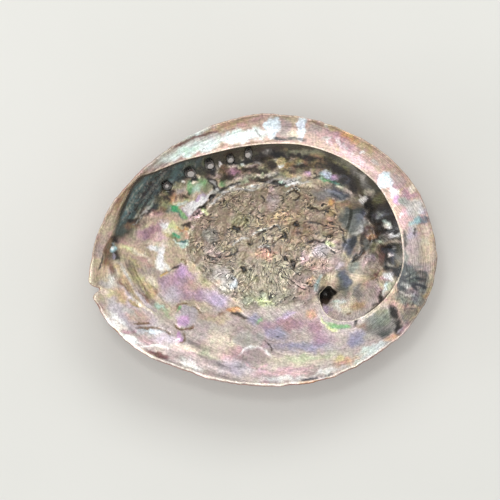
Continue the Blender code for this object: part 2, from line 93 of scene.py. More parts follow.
# The lip's route: plan x and y, height of its edge, how far it leans over the hollow, how far the
# hollow runs under it, and whether the ground outside it is shelf (1) or bowl (0)
LIP = [
    (-90.0, -13.0, -1.5, 0.0, 0.0, 0.0), (-88.5, -2.0, -2.0, 0.3, 0.3, 1.0),
    (-83.5, 8.5, -2.5, 0.5, 0.5, 1.0), (-79.0, 22.0, -3.0, 0.7, 0.8, 1.0),
    (-72.5, 35.0, -3.0, 0.8, 1.2, 1.0), (-67.5, 40.0, -3.0, 0.9, 1.6, 1.0),
    (-59.0, 43.5, -3.0, 1.0, 2.2, 1.0), (-45.5, 49.0, -3.0, 1.2, 3.0, 1.0),
    (-29.5, 53.5, -3.0, 1.5, 3.5, 1.0), (-13.0, 57.5, -3.0, 1.8, 4.0, 1.0),
    (4.0, 59.5, -3.0, 2.0, 4.0, 1.0), (20.5, 59.0, -3.0, 2.0, 4.5, 1.0),
    (34.5, 55.5, -3.0, 2.0, 5.0, 1.0), (48.5, 49.0, -3.0, 2.0, 5.0, 1.0),
    (63.0, 37.5, -3.4, 2.0, 5.0, 1.0), (72.0, 23.5, -3.8, 2.0, 5.0, 1.0),
    (77.0, 10.5, -4.2, 2.0, 5.0, 1.0), (78.5, 0.5, -4.5, 2.0, 5.0, 1.0),
    (78.5, -8.5, -5.0, 2.0, 5.0, 1.0), (76.0, -17.0, -5.6, 2.0, 4.5, 1.0),
    (70.0, -27.0, -7.0, 1.8, 3.2, 0.9), (62.5, -35.5, -9.2, 1.6, 2.2, 0.6),
    (53.5, -42.5, -12.0, 1.4, 1.6, 0.0), (43.5, -43.5, -15.2, 1.4, 1.2, 0.0),
    (35.5, -40.0, -18.8, 1.4, 1.0, 0.0), (31.0, -33.5, -22.2, 1.3, 1.0, 0.0),
    (30.0, -26.5, -25.5, 1.2, 0.8, 0.0), (33.5, -22.0, -28.0, 1.0, 0.6, 0.0),
    (38.5, -19.5, -30.5, 0.5, 0.5, 0.0), (42.5, -22.0, -32.5, 0.0, 0.0, 0.0),
]
LIP_FADE = 14.0
LIP_MOUND = 9.0
UNDER_REACH = 9.0
UNDER_REACH_COIL = 3.5
COIL_LENGTH = 45.0
# The eye looks straight into the hollow from above this point of the rim plane
VIEW_CENTRE = np.array([-7.1, 0.0])
VIEW_AWAY = 2200.0      # millimetres from the eye to the rim plane

# %% [markdown]
# The breathing holes are the shell's signature. The living animal opens a new one in the rim and
# seals the oldest behind it, so the row runs from open holes at the front to closed bumps at the
# back. The foot muscle leaves a rough, raised scar in the middle of the bowl.

# %% Holes, bumps and the scar
HOLES = [  # plan x and y, and radius
    (-8.0, 55.0, 2.3), (-18.5, 52.0, 2.4), (-30.5, 49.0, 2.8), (-42.0, 44.5, 3.0),
    (-55.0, 37.0, 3.4),
]
HOLE_SQUASH = 0.85
# A pore runs straight up through the leaning wall, so it leaves the outside nearer the crown
HOLES_OUTSIDE = [
    (-8.2, 52.4, 1.5), (-17.8, 49.6, 1.3), (-29.0, 46.2, 1.6), (-40.0, 41.8, 1.8), (-53.2, 35.0, 1.0),
]
ROW = [
    (70.0, 8.0), (63.0, 25.0), (51.0, 39.0), (37.0, 49.0), (24.0, 54.5), (12.0, 56.5), (2.0, 56.5),
    (-8.0, 55.0), (-18.5, 52.0), (-30.5, 49.0), (-42.0, 44.5), (-55.0, 37.0), (-65.5, 26.0),
    (-74.5, 15.5), (-82.0, 1.5), (-90.0, -20.0),
]
ROW_RIDGE = 2.6
ROW_WIDTH = 7.0
HOLE_COLLAR = 1.6
WALL_BUMPS = [  # plan x and y, radius and height
    (3.5, 56.0, 3.2, 1.5), (15.0, 55.0, 3.6, 1.4), (27.5, 51.5, 4.2, 1.6), (61.5, 30.5, 4.4, 1.9),
    (68.0, 18.5, 4.4, 1.8), (73.0, 10.5, 4.6, 2.0), (74.5, -2.0, 4.4, 1.8), (58.0, 4.0, 5.0, 1.5),
    (54.0, -6.5, 6.0, 1.3), (66.5, -9.5, 6.0, 1.5), (61.0, -22.5, 5.0, 1.2),
    (-13.5, 47.5, 3.4, 1.0), (-25.0, 43.5, 3.6, 1.2), (-37.0, 39.0, 4.0, 1.3),
    (-48.5, 31.0, 4.2, 1.4), (-60.0, 21.5, 4.6, 1.4), (-69.5, 8.5, 5.0, 1.2),
]
CHAMBER = [(58.0, 22.0), (63.0, 8.0), (64.0, -6.0), (60.0, -18.0), (51.0, -27.0), (41.0, -28.0)]
CHAMBER_DEPTH = 4.0
CHAMBER_WIDTH = 9.0
COIL_PIT = (35.5, -26.0, 3.6, 3.2)
APEX_KNOB = 3.2
SCAR = [
    (-45.0, -1.5), (-42.5, 13.0), (-34.0, 25.5), (-24.0, 32.5), (-10.5, 38.0), (5.5, 40.0),
    (22.0, 40.0), (35.5, 37.0), (47.0, 31.5), (51.0, 23.0), (50.0, 11.5), (48.0, 1.0),
    (44.5, -10.0), (34.0, -17.5), (26.5, -29.5), (20.0, -34.0), (5.0, -34.0), (-7.5, -34.0),
    (-18.0, -28.5), (-28.0, -20.5), (-39.0, -11.5),
]
SCAR_RISE = 1.3
SCAR_EDGE = 2.0
SCAR_ROUGHNESS = 0.55
BLISTERS = [
    (-46.5, -39.0, 5.2, 1.1), (-46.5, -51.5, 2.8, 1.2), (-6.5, -62.0, 8.5, 1.3),
    (-83.0, -1.5, 3.0, 1.2),
]

# %% [markdown]
# A smooth curve through a few points is a Catmull-Rom spline. Once it is cut into short steps,
# any point can be asked how far off the curve it lies and on which side. A search tree finds the
# nearest step at once, which matters here, because the question is asked millions of times.

# %% Curves that can be measured from
def smooth_curve(points, spacing, closed=False):
    """Points every spacing or so along a Catmull-Rom curve through the given rows."""
    rows = np.array(points, float)
    if closed:
        padded = np.vstack([rows[-1:], rows, rows[:2]])
    else:
        padded = np.vstack([2 * rows[:1] - rows[1:2], rows, 2 * rows[-1:] - rows[-2:-1]])
    fine = []
    share = np.linspace(0, 1, 24, endpoint=False)[:, None]
    for a, b, c, d in zip(padded, padded[1:], padded[2:], padded[3:]):
        fine.append(0.5 * (2 * b + (c - a) * share + (2 * a - 5 * b + 4 * c - d) * share**2
                           + (3 * b - a - 3 * c + d) * share**3))
    fine = np.vstack(fine + [rows[:1] if closed else rows[-1:]])
    along = np.concatenate([[0], np.cumsum(np.linalg.norm(np.diff(fine[:, :2], axis=0), axis=1))])
    stops = np.linspace(0, along[-1], max(3, round(along[-1] / spacing)) + 1)
    if closed:
        stops = stops[:-1]
    return np.column_stack([np.interp(stops, along, column) for column in fine.T])


def ease(value):
    """0 below 0, 1 above 1, and a smooth step between."""
    t = np.clip(value, 0, 1)
    return t * t * (3 - 2 * t)


def search_tree(points):
    tree = kdtree.KDTree(len(points))
    for i, (x, y) in enumerate(points[:, :2].tolist()):
        tree.insert((x, y, 0), i)
    tree.balance()
    return tree


class Track:
    """A plan curve that tells, for any points, how far off it they are and where along it."""

    def __init__(self, rows, closed=False):
        self.rows = smooth_curve(rows, 1.0, closed)
        ends = np.roll(self.rows, -1, axis=0) if closed else self.rows[1:]
        self.closed = closed
        self.start = self.rows[: len(ends)]
        self.step = ends - self.start
        self.length = np.linalg.norm(self.step[:, :2], axis=1)
        self.along = np.concatenate([[0], np.cumsum(self.length)])
        self.tree = search_tree(self.rows)

    def nearest(self, points):
        """(signed distance, place along, unit normal to the left, the rows there) for points."""
        row = np.array([self.tree.find((x, y, 0))[1] for x, y in points.tolist()])
        steps = len(self.step)
        found = []
        for pick in (row - 1, row):
            pick = pick % steps if self.closed else np.clip(pick, 0, steps - 1)
            flat = self.step[pick, :2]
            gap = points - self.start[pick, :2]
            share = np.clip((gap * flat).sum(1) / self.length[pick] ** 2, 0, 1)
            found.append((pick, share, gap - share[:, None] * flat))
        nearer = (found[0][2] ** 2).sum(1) <= (found[1][2] ** 2).sum(1)
        pick = np.where(nearer, found[0][0], found[1][0])
        share = np.where(nearer, found[0][1], found[1][1])
        off = np.where(nearer[:, None], found[0][2], found[1][2])
        flat = self.step[pick, :2]
        left = np.column_stack([-flat[:, 1], flat[:, 0]]) / self.length[pick, None]
        distance = np.linalg.norm(off, axis=1)
        signed = np.where((off * left).sum(1) < 0, -distance, distance)
        rows = self.start[pick] + share[:, None] * self.step[pick]
        return signed, self.along[pick] + share * self.length[pick], left, rows


def inside(points, ring):
    """Whether each point lies inside the closed ring."""
    x, y = points[:, 0], points[:, 1]
    found = np.zeros(len(points), bool)
    for (x0, y0), (x1, y1) in zip(ring, np.roll(ring, -1, axis=0)):
        crosses = (y0 > y) != (y1 > y)
        if y0 != y1:
            found ^= crosses & (x < (x1 - x0) * (y - y0) / (y1 - y0) + x0)
    return found


RIM_TRACK = Track(RIM, closed=True)
LIP_TRACK = Track(LIP)
ROW_TRACK = Track(ROW)
CHAMBER_TRACK = Track(CHAMBER)
SCAR_TRACK = Track(SCAR, closed=True)
print("the rim is", round(RIM_TRACK.along[-1]), "mm round, the lip", round(LIP_TRACK.along[-1]))

# %% [markdown]
# The animal adds shell at the rim and turns as it grows, so every growth line is an old rim,
# shrunk and turned about the apex. The age of a place is how far the rim has turned since it
# passed there. A search by halves finds it, and both the ledges outside and the fine lines in the
# pearl follow it.

# %% Growth
GROWTH_PER_TURN = 21.0  # the rim grows by this factor in one full turn
GROWTH_RATE = math.log(GROWTH_PER_TURN) / (2 * math.pi)
SUTURE_START = np.array([71.5, -51.5])
SUTURE_DEPTH = 0.10
SUTURE_DEEPEST = 2.2
GROWTH_STEP = 0.17      # radians of growth between two ledges on the outside
GROWTH_HEIGHT = 1.7
CORDS = 30              # spiral cords round one turn of the outside
CORD_HEIGHT = 0.5
KNOB_SIZE = 24.0
KNOB_HEIGHT = 0.7
WORN_FROM = 14.0        # the relief is rubbed away within this distance of the crown
WORN_TO = 40.0
WORN_LEFT = 0.25


def rim_seen_from(centre):
    """The rim's distance from a centre against the angle, ready to read between."""
    ring = RIM_TRACK.rows[:, :2] - centre
    angle = np.arctan2(ring[:, 1], ring[:, 0])
    order = np.argsort(angle)
    return angle[order], np.linalg.norm(ring, axis=1)[order]


def reach(points, centre):
    """(distance from centre, the rim's distance from centre the same way, the angle)."""
    angle, distance = rim_seen_from(centre)
    off = points - centre
    turn = np.arctan2(off[:, 1], off[:, 0])
    rim = np.interp(turn, angle, distance, period=2 * math.pi)
    return np.linalg.norm(off, axis=1), rim, turn


def growth_age(points):
    """How many radians of growth ago the rim passed over each point; 0 is the rim of today."""
    off = points - APEX
    log_radius = np.log(np.maximum(np.linalg.norm(off, axis=1), 0.5))
    turn = np.arctan2(off[:, 1], off[:, 0])
    angle, distance = rim_seen_from(APEX)
    low, high = np.zeros(len(points)), np.full(len(points), 14.0)
    for _ in range(30):
        middle = (low + high) / 2
        rim = np.interp(turn + middle, angle, np.log(distance), period=2 * math.pi)
        early = rim - GROWTH_RATE * middle > log_radius
        low, high = np.where(early, middle, low), np.where(early, high, middle)
    return low


def suture_line():
    """Where each whorl met the one before: the back end of the lip, followed down the coil."""
    start = SUTURE_START - APEX
    rows = []
    for turn in np.linspace(0, 2.6 * math.pi, 90):
        shrink = math.exp(-GROWTH_RATE * turn)
        c, s = math.cos(-turn) * shrink, math.sin(-turn) * shrink
        rows.append((APEX[0] + c * start[0] - s * start[1], APEX[1] + s * start[0] + c * start[1]))
    return rows


SUTURE_TRACK = Track(suture_line())

# %% [markdown]
# The outside is a dome over the rim, and the pearl side is that dome moved in by the thickness of
# the wall. The shelf is a second surface near the rim's height, and the lip is where one gives
# way to the other. Near it the hollow runs on under the edge, so the lip truly overhangs.

# %% The dome and the pearl side
def bell(points, x, y, radius):
    """A round hill of height 1."""
    return np.exp(-((points[:, 0] - x) ** 2 + (points[:, 1] - y) ** 2) / radius**2)


def dome(points):
    """Depth of the smooth outer side below the rim plane."""
    radius, rim, turn = reach(points, CROWN)
    fullness = 2.0 + 0.8 * np.maximum(0, np.cos(turn + math.radians(30))) ** 2
    depth = DEPTH * (1 - np.clip(radius / rim, 0, 1) ** fullness)
    off_row = ROW_TRACK.nearest(points)[0]
    depth += ROW_RIDGE * np.exp(-(off_row / ROW_WIDTH) ** 2) * ease((rim - radius) / 8)
    off_chamber = CHAMBER_TRACK.nearest(points)[0]
    depth += CHAMBER_DEPTH * np.exp(-(off_chamber / CHAMBER_WIDTH) ** 2)
    return depth + APEX_KNOB * bell(points, *APEX, 9.0)


def moved_in(points, thickness):
    """The dome's points, moved square to its surface into the hollow."""
    step = 0.4
    slope_x = (dome(points + (step, 0)) - dome(points - (step, 0))) / (2 * step)
    slope_y = (dome(points + (0, step)) - dome(points - (0, step))) / (2 * step)
    normal = np.column_stack([slope_x, slope_y, np.ones(len(points))])
    normal /= np.linalg.norm(normal, axis=1)[:, None]
    return np.column_stack([points, -dome(points)]) + normal * thickness[:, None]


def rim_wave(points):
    """The slow rise and dip of the rim, which fades out towards the crown."""
    radius, rim, turn = reach(points, CROWN)
    return RIM_WAVE * np.sin(2 * turn + 0.6) * ease(radius / rim)


def from_rim(points):
    return np.abs(RIM_TRACK.nearest(points)[0])


def lumps(points, size):
    """A still, uneven pattern between -1 and 1 with features of about the given size."""
    x, y = points[:, 0] * 2 * math.pi / size, points[:, 1] * 2 * math.pi / size
    waves = np.sin(x * 0.9 + 1.3 * np.sin(y * 0.31)) * np.cos(y * 0.8 + 1.1 * np.sin(x * 0.37))
    return 0.6 * waves + 0.4 * np.sin(0.7 * x - 1.1 * y + 0.5) * np.sin(1.3 * x + 0.6 * y + 2.0)


def in_scar(points):
    """How far inside the muscle scar each point lies, in millimetres; negative is outside."""
    off = np.abs(SCAR_TRACK.nearest(points)[0])
    return np.where(inside(points, SCAR_TRACK.rows), off, -off)


def pearl_relief(points):
    """How far the pearl side stands up from the even wall."""
    scar = ease(in_scar(points) / SCAR_EDGE)
    relief = scar * (SCAR_RISE + SCAR_ROUGHNESS * lumps(points, 11.0))
    for x, y, radius, height in BLISTERS + WALL_BUMPS:
        relief += height * bell(points, x, y, radius)
    x, y, radius, depth = COIL_PIT
    return relief - depth * bell(points, x, y, radius)


def bowl(points):
    """The pearl side of the wall, without the shelf and the lip."""
    thickness = RIM_WALL + (WALL - RIM_WALL) * ease(from_rim(points) / RIM_TAPER)
    return moved_in(points, thickness + pearl_relief(points))


def pearl_side(points):
    """Every point of the plan on the pearl side, with the shelf and the overhanging lip."""
    away, place, left, rows = LIP_TRACK.nearest(points)
    height, lean, under, shelf = rows[:, 2], rows[:, 3], rows[:, 4], rows[:, 5]
    to_end = LIP_TRACK.along[-1] - place
    fade = ease(to_end / LIP_FADE) * ease(place / LIP_FADE)
    coil = ease(1 - (to_end - COIL_LENGTH * 0.4) / (COIL_LENGTH * 0.6))
    under_reach = UNDER_REACH + (UNDER_REACH_COIL - UNDER_REACH) * coil
    # Inside the lip the bowl runs out beneath it
    slide = under * fade * np.where(away < 0, ease(1 + away / under_reach) ** 2, 1)
    low = bowl(points + left * np.where(away < 1, slide, 0)[:, None])
    # Outside the lip lies the shelf, or a mound that rises from the bowl to the lip's edge
    plain = bowl(points)
    rim_gap = from_rim(points)
    share = np.abs(away) / (np.abs(away) + rim_gap + 1e-6)
    hollow = 0.4 * np.minimum(np.abs(away) + rim_gap, 22.0)
    shelf_height = height * (1 - share) + (RIM_WALL + SHELF_RIM) * share
    shelf_height -= hollow * share * (1 - share)
    shelf_point = np.column_stack([points, shelf_height])
    high = plain + (shelf_point - plain) * (shelf * fade)[:, None]
    mound = fade * (1 - shelf) * np.exp(-(away / LIP_MOUND) ** 2)
    high[:, 2] += mound * np.maximum(height - high[:, 2], 0)
    lean_share = np.where(away < 1.5, 1, ease(1 - (away - 1.5) / 9.0))
    high[:, :2] -= left * (lean * fade * lean_share)[:, None]
    rise = ease((away + 1.0) / 1.4)
    side = low + (high - low) * rise[:, None]
    side[:, 2] += rim_wave(points)
    return side

# %% [markdown]
# The outside of an abalone is not pearl but a rough crust. Each growth stop leaves a ledge, and
# fine cords run along the whorl across the ledges. The crown, where the shell rocked on rock and
# sand, is worn smooth.

# %% The outside
def outer_side(points):
    """Every point of the plan on the outside, with its whorls, growth ledges and collars."""
    depth = dome(points)
    off_suture, _, _, rows = SUTURE_TRACK.nearest(points)
    from_apex = np.linalg.norm(rows[:, :2] - APEX, axis=1)
    groove = np.minimum(SUTURE_DEPTH * from_apex, SUTURE_DEEPEST)
    rim_gap = from_rim(points)
    depth -= groove * np.exp(-(off_suture / (1.5 + 0.11 * from_apex)) ** 2) * ease(rim_gap / 10)
    age = growth_age(points)
    ledge = 1 - np.mod(age / GROWTH_STEP, 1)
    off = points - APEX
    cord = np.cos(CORDS * (np.arctan2(off[:, 1], off[:, 0]) + age))
    relief = GROWTH_HEIGHT * (ledge - 0.5) + CORD_HEIGHT * cord
    relief += KNOB_HEIGHT * lumps(points, KNOB_SIZE)
    from_crown = np.linalg.norm(points - CROWN, axis=1)
    whole = WORN_LEFT + (1 - WORN_LEFT) * ease((from_crown - WORN_FROM) / (WORN_TO - WORN_FROM))
    depth += relief * whole * ease(rim_gap / 6) * ease(1 - age / 5)
    for x, y, radius in HOLES_OUTSIDE:
        away = np.hypot(points[:, 0] - x, points[:, 1] - y)
        depth += HOLE_COLLAR * np.exp(-((away - radius) / 2.4) ** 2)
    return np.column_stack([points, rim_wave(points) - depth])

# %% [markdown]
# Both sides are drawn over the plan as a net of small triangles. The net is finest where the form
# turns sharply, which is along the lip, and in the wrinkled scar. Blender's own Delaunay
# triangulation joins any cloud of points, and it keeps the rim and the holes as borders.

# %% The net of triangles
RIM_STEP = 0.8
RIM_RAGGED = 0.35       # the edge wanders this far in and out
LIP_STEP = 0.6
LIP_RINGS = [-5.6, -4.9, -4.2, -3.6, -3.0, -2.5, -2.1, -1.75, -1.45, -1.2, -1.0, -0.85, -0.7,
             -0.55, -0.4, -0.25, -0.1, 0.05, 0.2, 0.4, 0.65, 0.95, 1.3, 1.75, 2.25, 2.8]
SCAR_SPACING = 0.54
PEARL_SPACING = 0.70
CRUST_SPACING = 1.7
HOLE_SIDES = 28
EDGE_ROWS = 3           # rows of faces that round the edge from the pearl to the crust


def cloud(points, size, seed, octaves=3):
    """Smooth value noise between -1 and 1, with features of about the given size."""
    x, y = points[:, 0] / size, points[:, 1] / size
    total, strength = np.zeros(len(points)), 1.0
    for octave in range(octaves):
        table = np.random.RandomState(seed + octave).uniform(-1, 1, (64, 64))
        column, row = np.floor(x).astype(int), np.floor(y).astype(int)
        across, up = ease(x - column), ease(y - row)
        corner = [[table[(row + j) % 64, (column + i) % 64] for i in (0, 1)] for j in (0, 1)]
        low = corner[0][0] + (corner[0][1] - corner[0][0]) * across
        high = corner[1][0] + (corner[1][1] - corner[1][0]) * across
        total += strength * (low + (high - low) * up)
        x, y, strength = x * 2.03, y * 2.03, strength * 0.5
    return total / 1.3


def hole_loops(pores):
    """The breathing holes in plan, each narrowed across the row and not quite even."""
    loops = []
    turns = np.arange(HOLE_SIDES) * 2 * math.pi / HOLE_SIDES
    for number, (x, y, radius) in enumerate(pores):
        left = ROW_TRACK.nearest(np.array([(x, y)]))[2][0]
        along = np.array([left[1], -left[0]])
        uneven = radius * (1 + 0.06 * np.sin(2 * turns + number) + 0.04 * np.sin(5 * turns))
        loops.append(np.array([(x, y)]) + (uneven * np.cos(turns))[:, None] * along
                     + (uneven * HOLE_SQUASH * np.sin(turns))[:, None] * left)
    return loops


def ragged_rim():
    ring = smooth_curve(RIM + NOTCH, RIM_STEP, closed=True)
    forward = np.roll(ring, -1, axis=0) - np.roll(ring, 1, axis=0)
    forward /= np.linalg.norm(forward, axis=1)[:, None]
    outward = np.column_stack([-forward[:, 1], forward[:, 0]])
    wander = cloud(ring, 5.0, 11) * RIM_RAGGED - RIM_RAGGED * 0.4
    return ring + outward * wander[:, None]


def honeycomb(spacing):
    """Points of a triangular grid over the whole plan."""
    row, column = np.mgrid[-80 / spacing / 0.866:80 / spacing / 0.866, -98 / spacing:98 / spacing]
    row, column = np.round(row).ravel(), np.round(column).ravel()
    return np.column_stack([(column + 0.5 * (row % 2)) * spacing, row * spacing * math.sqrt(0.75)])


def clear_of(points, others, gap):
    """The points that keep gap from every one of the others."""
    tree = search_tree(others)
    near = np.array([tree.find((x, y, 0))[2] for x, y in points.tolist()])
    return points[near > gap]


def lip_strings():
    """Copies of the lip's route at several distances, where they don't cross themselves."""
    route = smooth_curve(LIP, LIP_STEP)[:, :2]
    forward = np.gradient(route, axis=0)
    forward /= np.linalg.norm(forward, axis=1)[:, None]
    left = np.column_stack([-forward[:, 1], forward[:, 0]])
    copies = []
    for distance in LIP_RINGS:
        ring = route + left * distance
        away = LIP_TRACK.nearest(ring)[0]
        good = np.abs(away) > abs(distance) * 0.96 - 0.02
        copies.append(ring[good & (from_rim(ring) > 1.2)])
    return np.vstack(copies)


def triangulate(rings, loose):
    """(plan points, triangles) over the rim, with the rings as borders."""
    places, edges = [], []
    for ring in rings:
        first = len(places)
        places += ring.tolist()
        edges += [(first + i, first + (i + 1) % len(ring)) for i in range(len(ring))]
    places += loose.tolist()
    found = delaunay_2d_cdt([Vector(p) for p in places], edges, [], 0, 1e-6)
    plan = np.array([tuple(v) for v in found[0]])
    if len(plan) != len(places):
        raise ValueError("two plan points fell together, so the rings would not match")
    faces = np.array([f for f in found[2] if len(f) == 3])
    middle = plan[faces].mean(1)
    keep = inside(middle, rings[0])
    for hole in rings[1:]:
        keep &= ~inside(middle, hole)
    faces = faces[keep]
    a, b, c = (plan[faces[:, i]] for i in range(3))
    clockwise = (b - a)[:, 0] * (c - a)[:, 1] < (b - a)[:, 1] * (c - a)[:, 0]
    faces[clockwise] = faces[clockwise][:, ::-1]
    return plan, faces


rim, holes, outer_holes = ragged_rim(), hole_loops(HOLES), hole_loops(HOLES_OUTSIDE)
borders = np.vstack([rim, *holes])
strings = lip_strings()
strings = clear_of(strings[inside(strings, rim)], borders, 0.5)
scar_fill = honeycomb(SCAR_SPACING)
scar_fill = scar_fill[in_scar(scar_fill) > -1.5]
pearl_fill = honeycomb(PEARL_SPACING)
pearl_fill = pearl_fill[inside(pearl_fill, rim) & (in_scar(pearl_fill) < -1.5 - PEARL_SPACING / 2)]
fill = np.vstack([scar_fill, pearl_fill])
fill = clear_of(fill, np.vstack([borders, strings]), PEARL_SPACING * 0.55)
for hole in holes:
    strings = strings[~inside(strings, hole)]
    fill = fill[~inside(fill, hole)]
pearl_plan, pearl_faces = triangulate([rim, *holes], np.vstack([strings, fill]))
crust_fill = honeycomb(CRUST_SPACING)
crust_fill = clear_of(crust_fill[inside(crust_fill, rim)], np.vstack([rim, *outer_holes]),
                      CRUST_SPACING * 0.55)
for hole in outer_holes:
    crust_fill = crust_fill[~inside(crust_fill, hole)]
crust_plan, crust_faces = triangulate([rim, *outer_holes], crust_fill)
print("triangles on the pearl side", len(pearl_faces), "and on the crust", len(crust_faces))

# %% [markdown]
# The two sides have the same count of points round the rim and round each hole, so a strip of
# quads closes each gap between them. Round the rim the strip bulges a little, because a worn edge is round.
# The pores come out nearer the crown, so their walls lean. The whole is then tipped onto its
# crown, exactly as the solid was, and set on the floor.

# %% Close the edges and set the shell down
EDGE_BULGE = 0.45
REST_TURN = (Matrix.Rotation(math.radians(REST_PITCH), 3, "Y")
             @ Matrix.Rotation(math.radians(REST_ROLL), 3, "X"))


def set_down(points):
    """Tips the shell as it lies, brings its top to the solid's and wears the crown flat."""
    tipped = points @ np.array(REST_TURN).T
    low, high = tipped.min(0), tipped.max(0)
    middle = (low + high) / 2
    tipped -= (middle[0], middle[1], high[2] - cad_high[2] / MM)
    tipped[:, 2] = np.maximum(tipped[:, 2], 0)
    return tipped


pearl_points, crust_points = pearl_side(pearl_plan), outer_side(crust_plan)
points, plans = [pearl_points, crust_points], [pearl_plan, crust_plan]
faces = [tuple(f) for f in pearl_faces.tolist()]
faces += [tuple(i + len(pearl_points) for i in f[::-1]) for f in crust_faces.tolist()]
filled = len(pearl_points) + len(crust_points)
in_hole = [np.zeros(filled)]     # 1 on the walls of the breathing holes
start = 0
for ring in [rim, *holes]:
    count = len(ring)
    across = np.roll(ring, -1, axis=0) - np.roll(ring, 1, axis=0)
    across /= np.linalg.norm(across, axis=1)[:, None]
    bulge = np.column_stack([-across[:, 1], across[:, 0], np.zeros(count)])
    bulge *= EDGE_BULGE if start == 0 else 0
    upper, lower = pearl_points[start:start + count], crust_points[start:start + count]
    rows = [np.arange(count) + start]
    for step in range(1, EDGE_ROWS):
        share = step / EDGE_ROWS
        points.append(upper + (lower - upper) * share + bulge * math.sin(math.pi * share))
        plans.append(ring)
        in_hole.append(np.full(count, float(start > 0)))
        rows.append(np.arange(count) + filled)
        filled += count
    rows.append(np.arange(count) + start + len(pearl_points))
    area = (ring[:, 0] * np.roll(ring[:, 1], -1) - np.roll(ring[:, 0], -1) * ring[:, 1]).sum()
    outward = (area > 0) == (start == 0)
    for upper_row, lower_row in zip(rows, rows[1:]):
        for i in range(count):
            j = (i + 1) % count
            quad = tuple(int(v) for v in (upper_row[i], lower_row[i], lower_row[j], upper_row[j]))
            faces.append(quad if outward else quad[::-1])
    start += count
level, plan, in_hole = np.vstack(points), np.vstack(plans), np.concatenate(in_hole)
points = set_down(level)

# %% [markdown]
# Mother of pearl has almost no pigment. Its colours come from thin plates of lime that split the
# light, and they drift with the thickness of the plates. The blooms of colour in this shell are
# its own, as a face's freckles are, so they are painted, with a palette of named pearl
# colours and soft brush marks. A mark is a place, half its length and width, a turn in degrees
# and a softness. Its sizes are in tenths of a millimetre, as whole numbers, because a brush is
# never truer than that. The paint lies on the points of the skin.

# %% The palette
def linear(code):
    """An sRGB hex colour as three linear values."""
    values = np.array([int(code[i:i + 2], 16) for i in (0, 2, 4)]) / 255
    return np.where(values <= 0.04045, values / 12.92, ((values + 0.055) / 1.055) ** 2.4)


PALETTE = {
    "white": "fbf8f4", "blue_white": "e0ecf2", "mint_white": "e5f2ec", "mint": "cde8d8",
    "aqua": "a6c8cc", "teal": "4a8078", "deep_teal": "4f6868", "emerald": "3fae78",
    "leaf": "86b97e", "yellow_green": "dde2a8", "pale_green": "c5cdab", "cream": "ebdec8",
    "straw": "dccb98", "gold": "dcb268", "peach": "dcae90", "orange": "c8975f", "tan": "bfa380",
    "sand": "c9b79c", "rose_tan": "c4a798", "pink": "e4c0c4", "rose": "c6a0a4",
    "mauve": "b38f99", "orchid": "d2a8d0", "violet": "b999aa", "lilac": "cab6d0",
    "lavender": "a8a3b9", "lilac_grey": "c8bec4", "rose_grey": "b3a29d", "silver": "c3bfb8",
    "grey_green": "8c9187", "grey": "8b8883", "slate": "565c6c", "blue_black": "2d3338",
    "olive": "8a865c", "dark_olive": "4a4736", "horn": "a98f6b", "brown": "86694e",
    "red_brown": "76504a", "dark_brown": "38291f", "black": "13110f", "taupe": "958a7b",
    "moss": "9a9a80", "lead": "5d635e", "bone": "aea48c",
}

# %% [markdown]
# The shelf is pale, and its colours run across it in blocks: a mint inner half at the front, two
# blue-white panes at the top, pinks and tans at the back, and dark smears near the spire end.

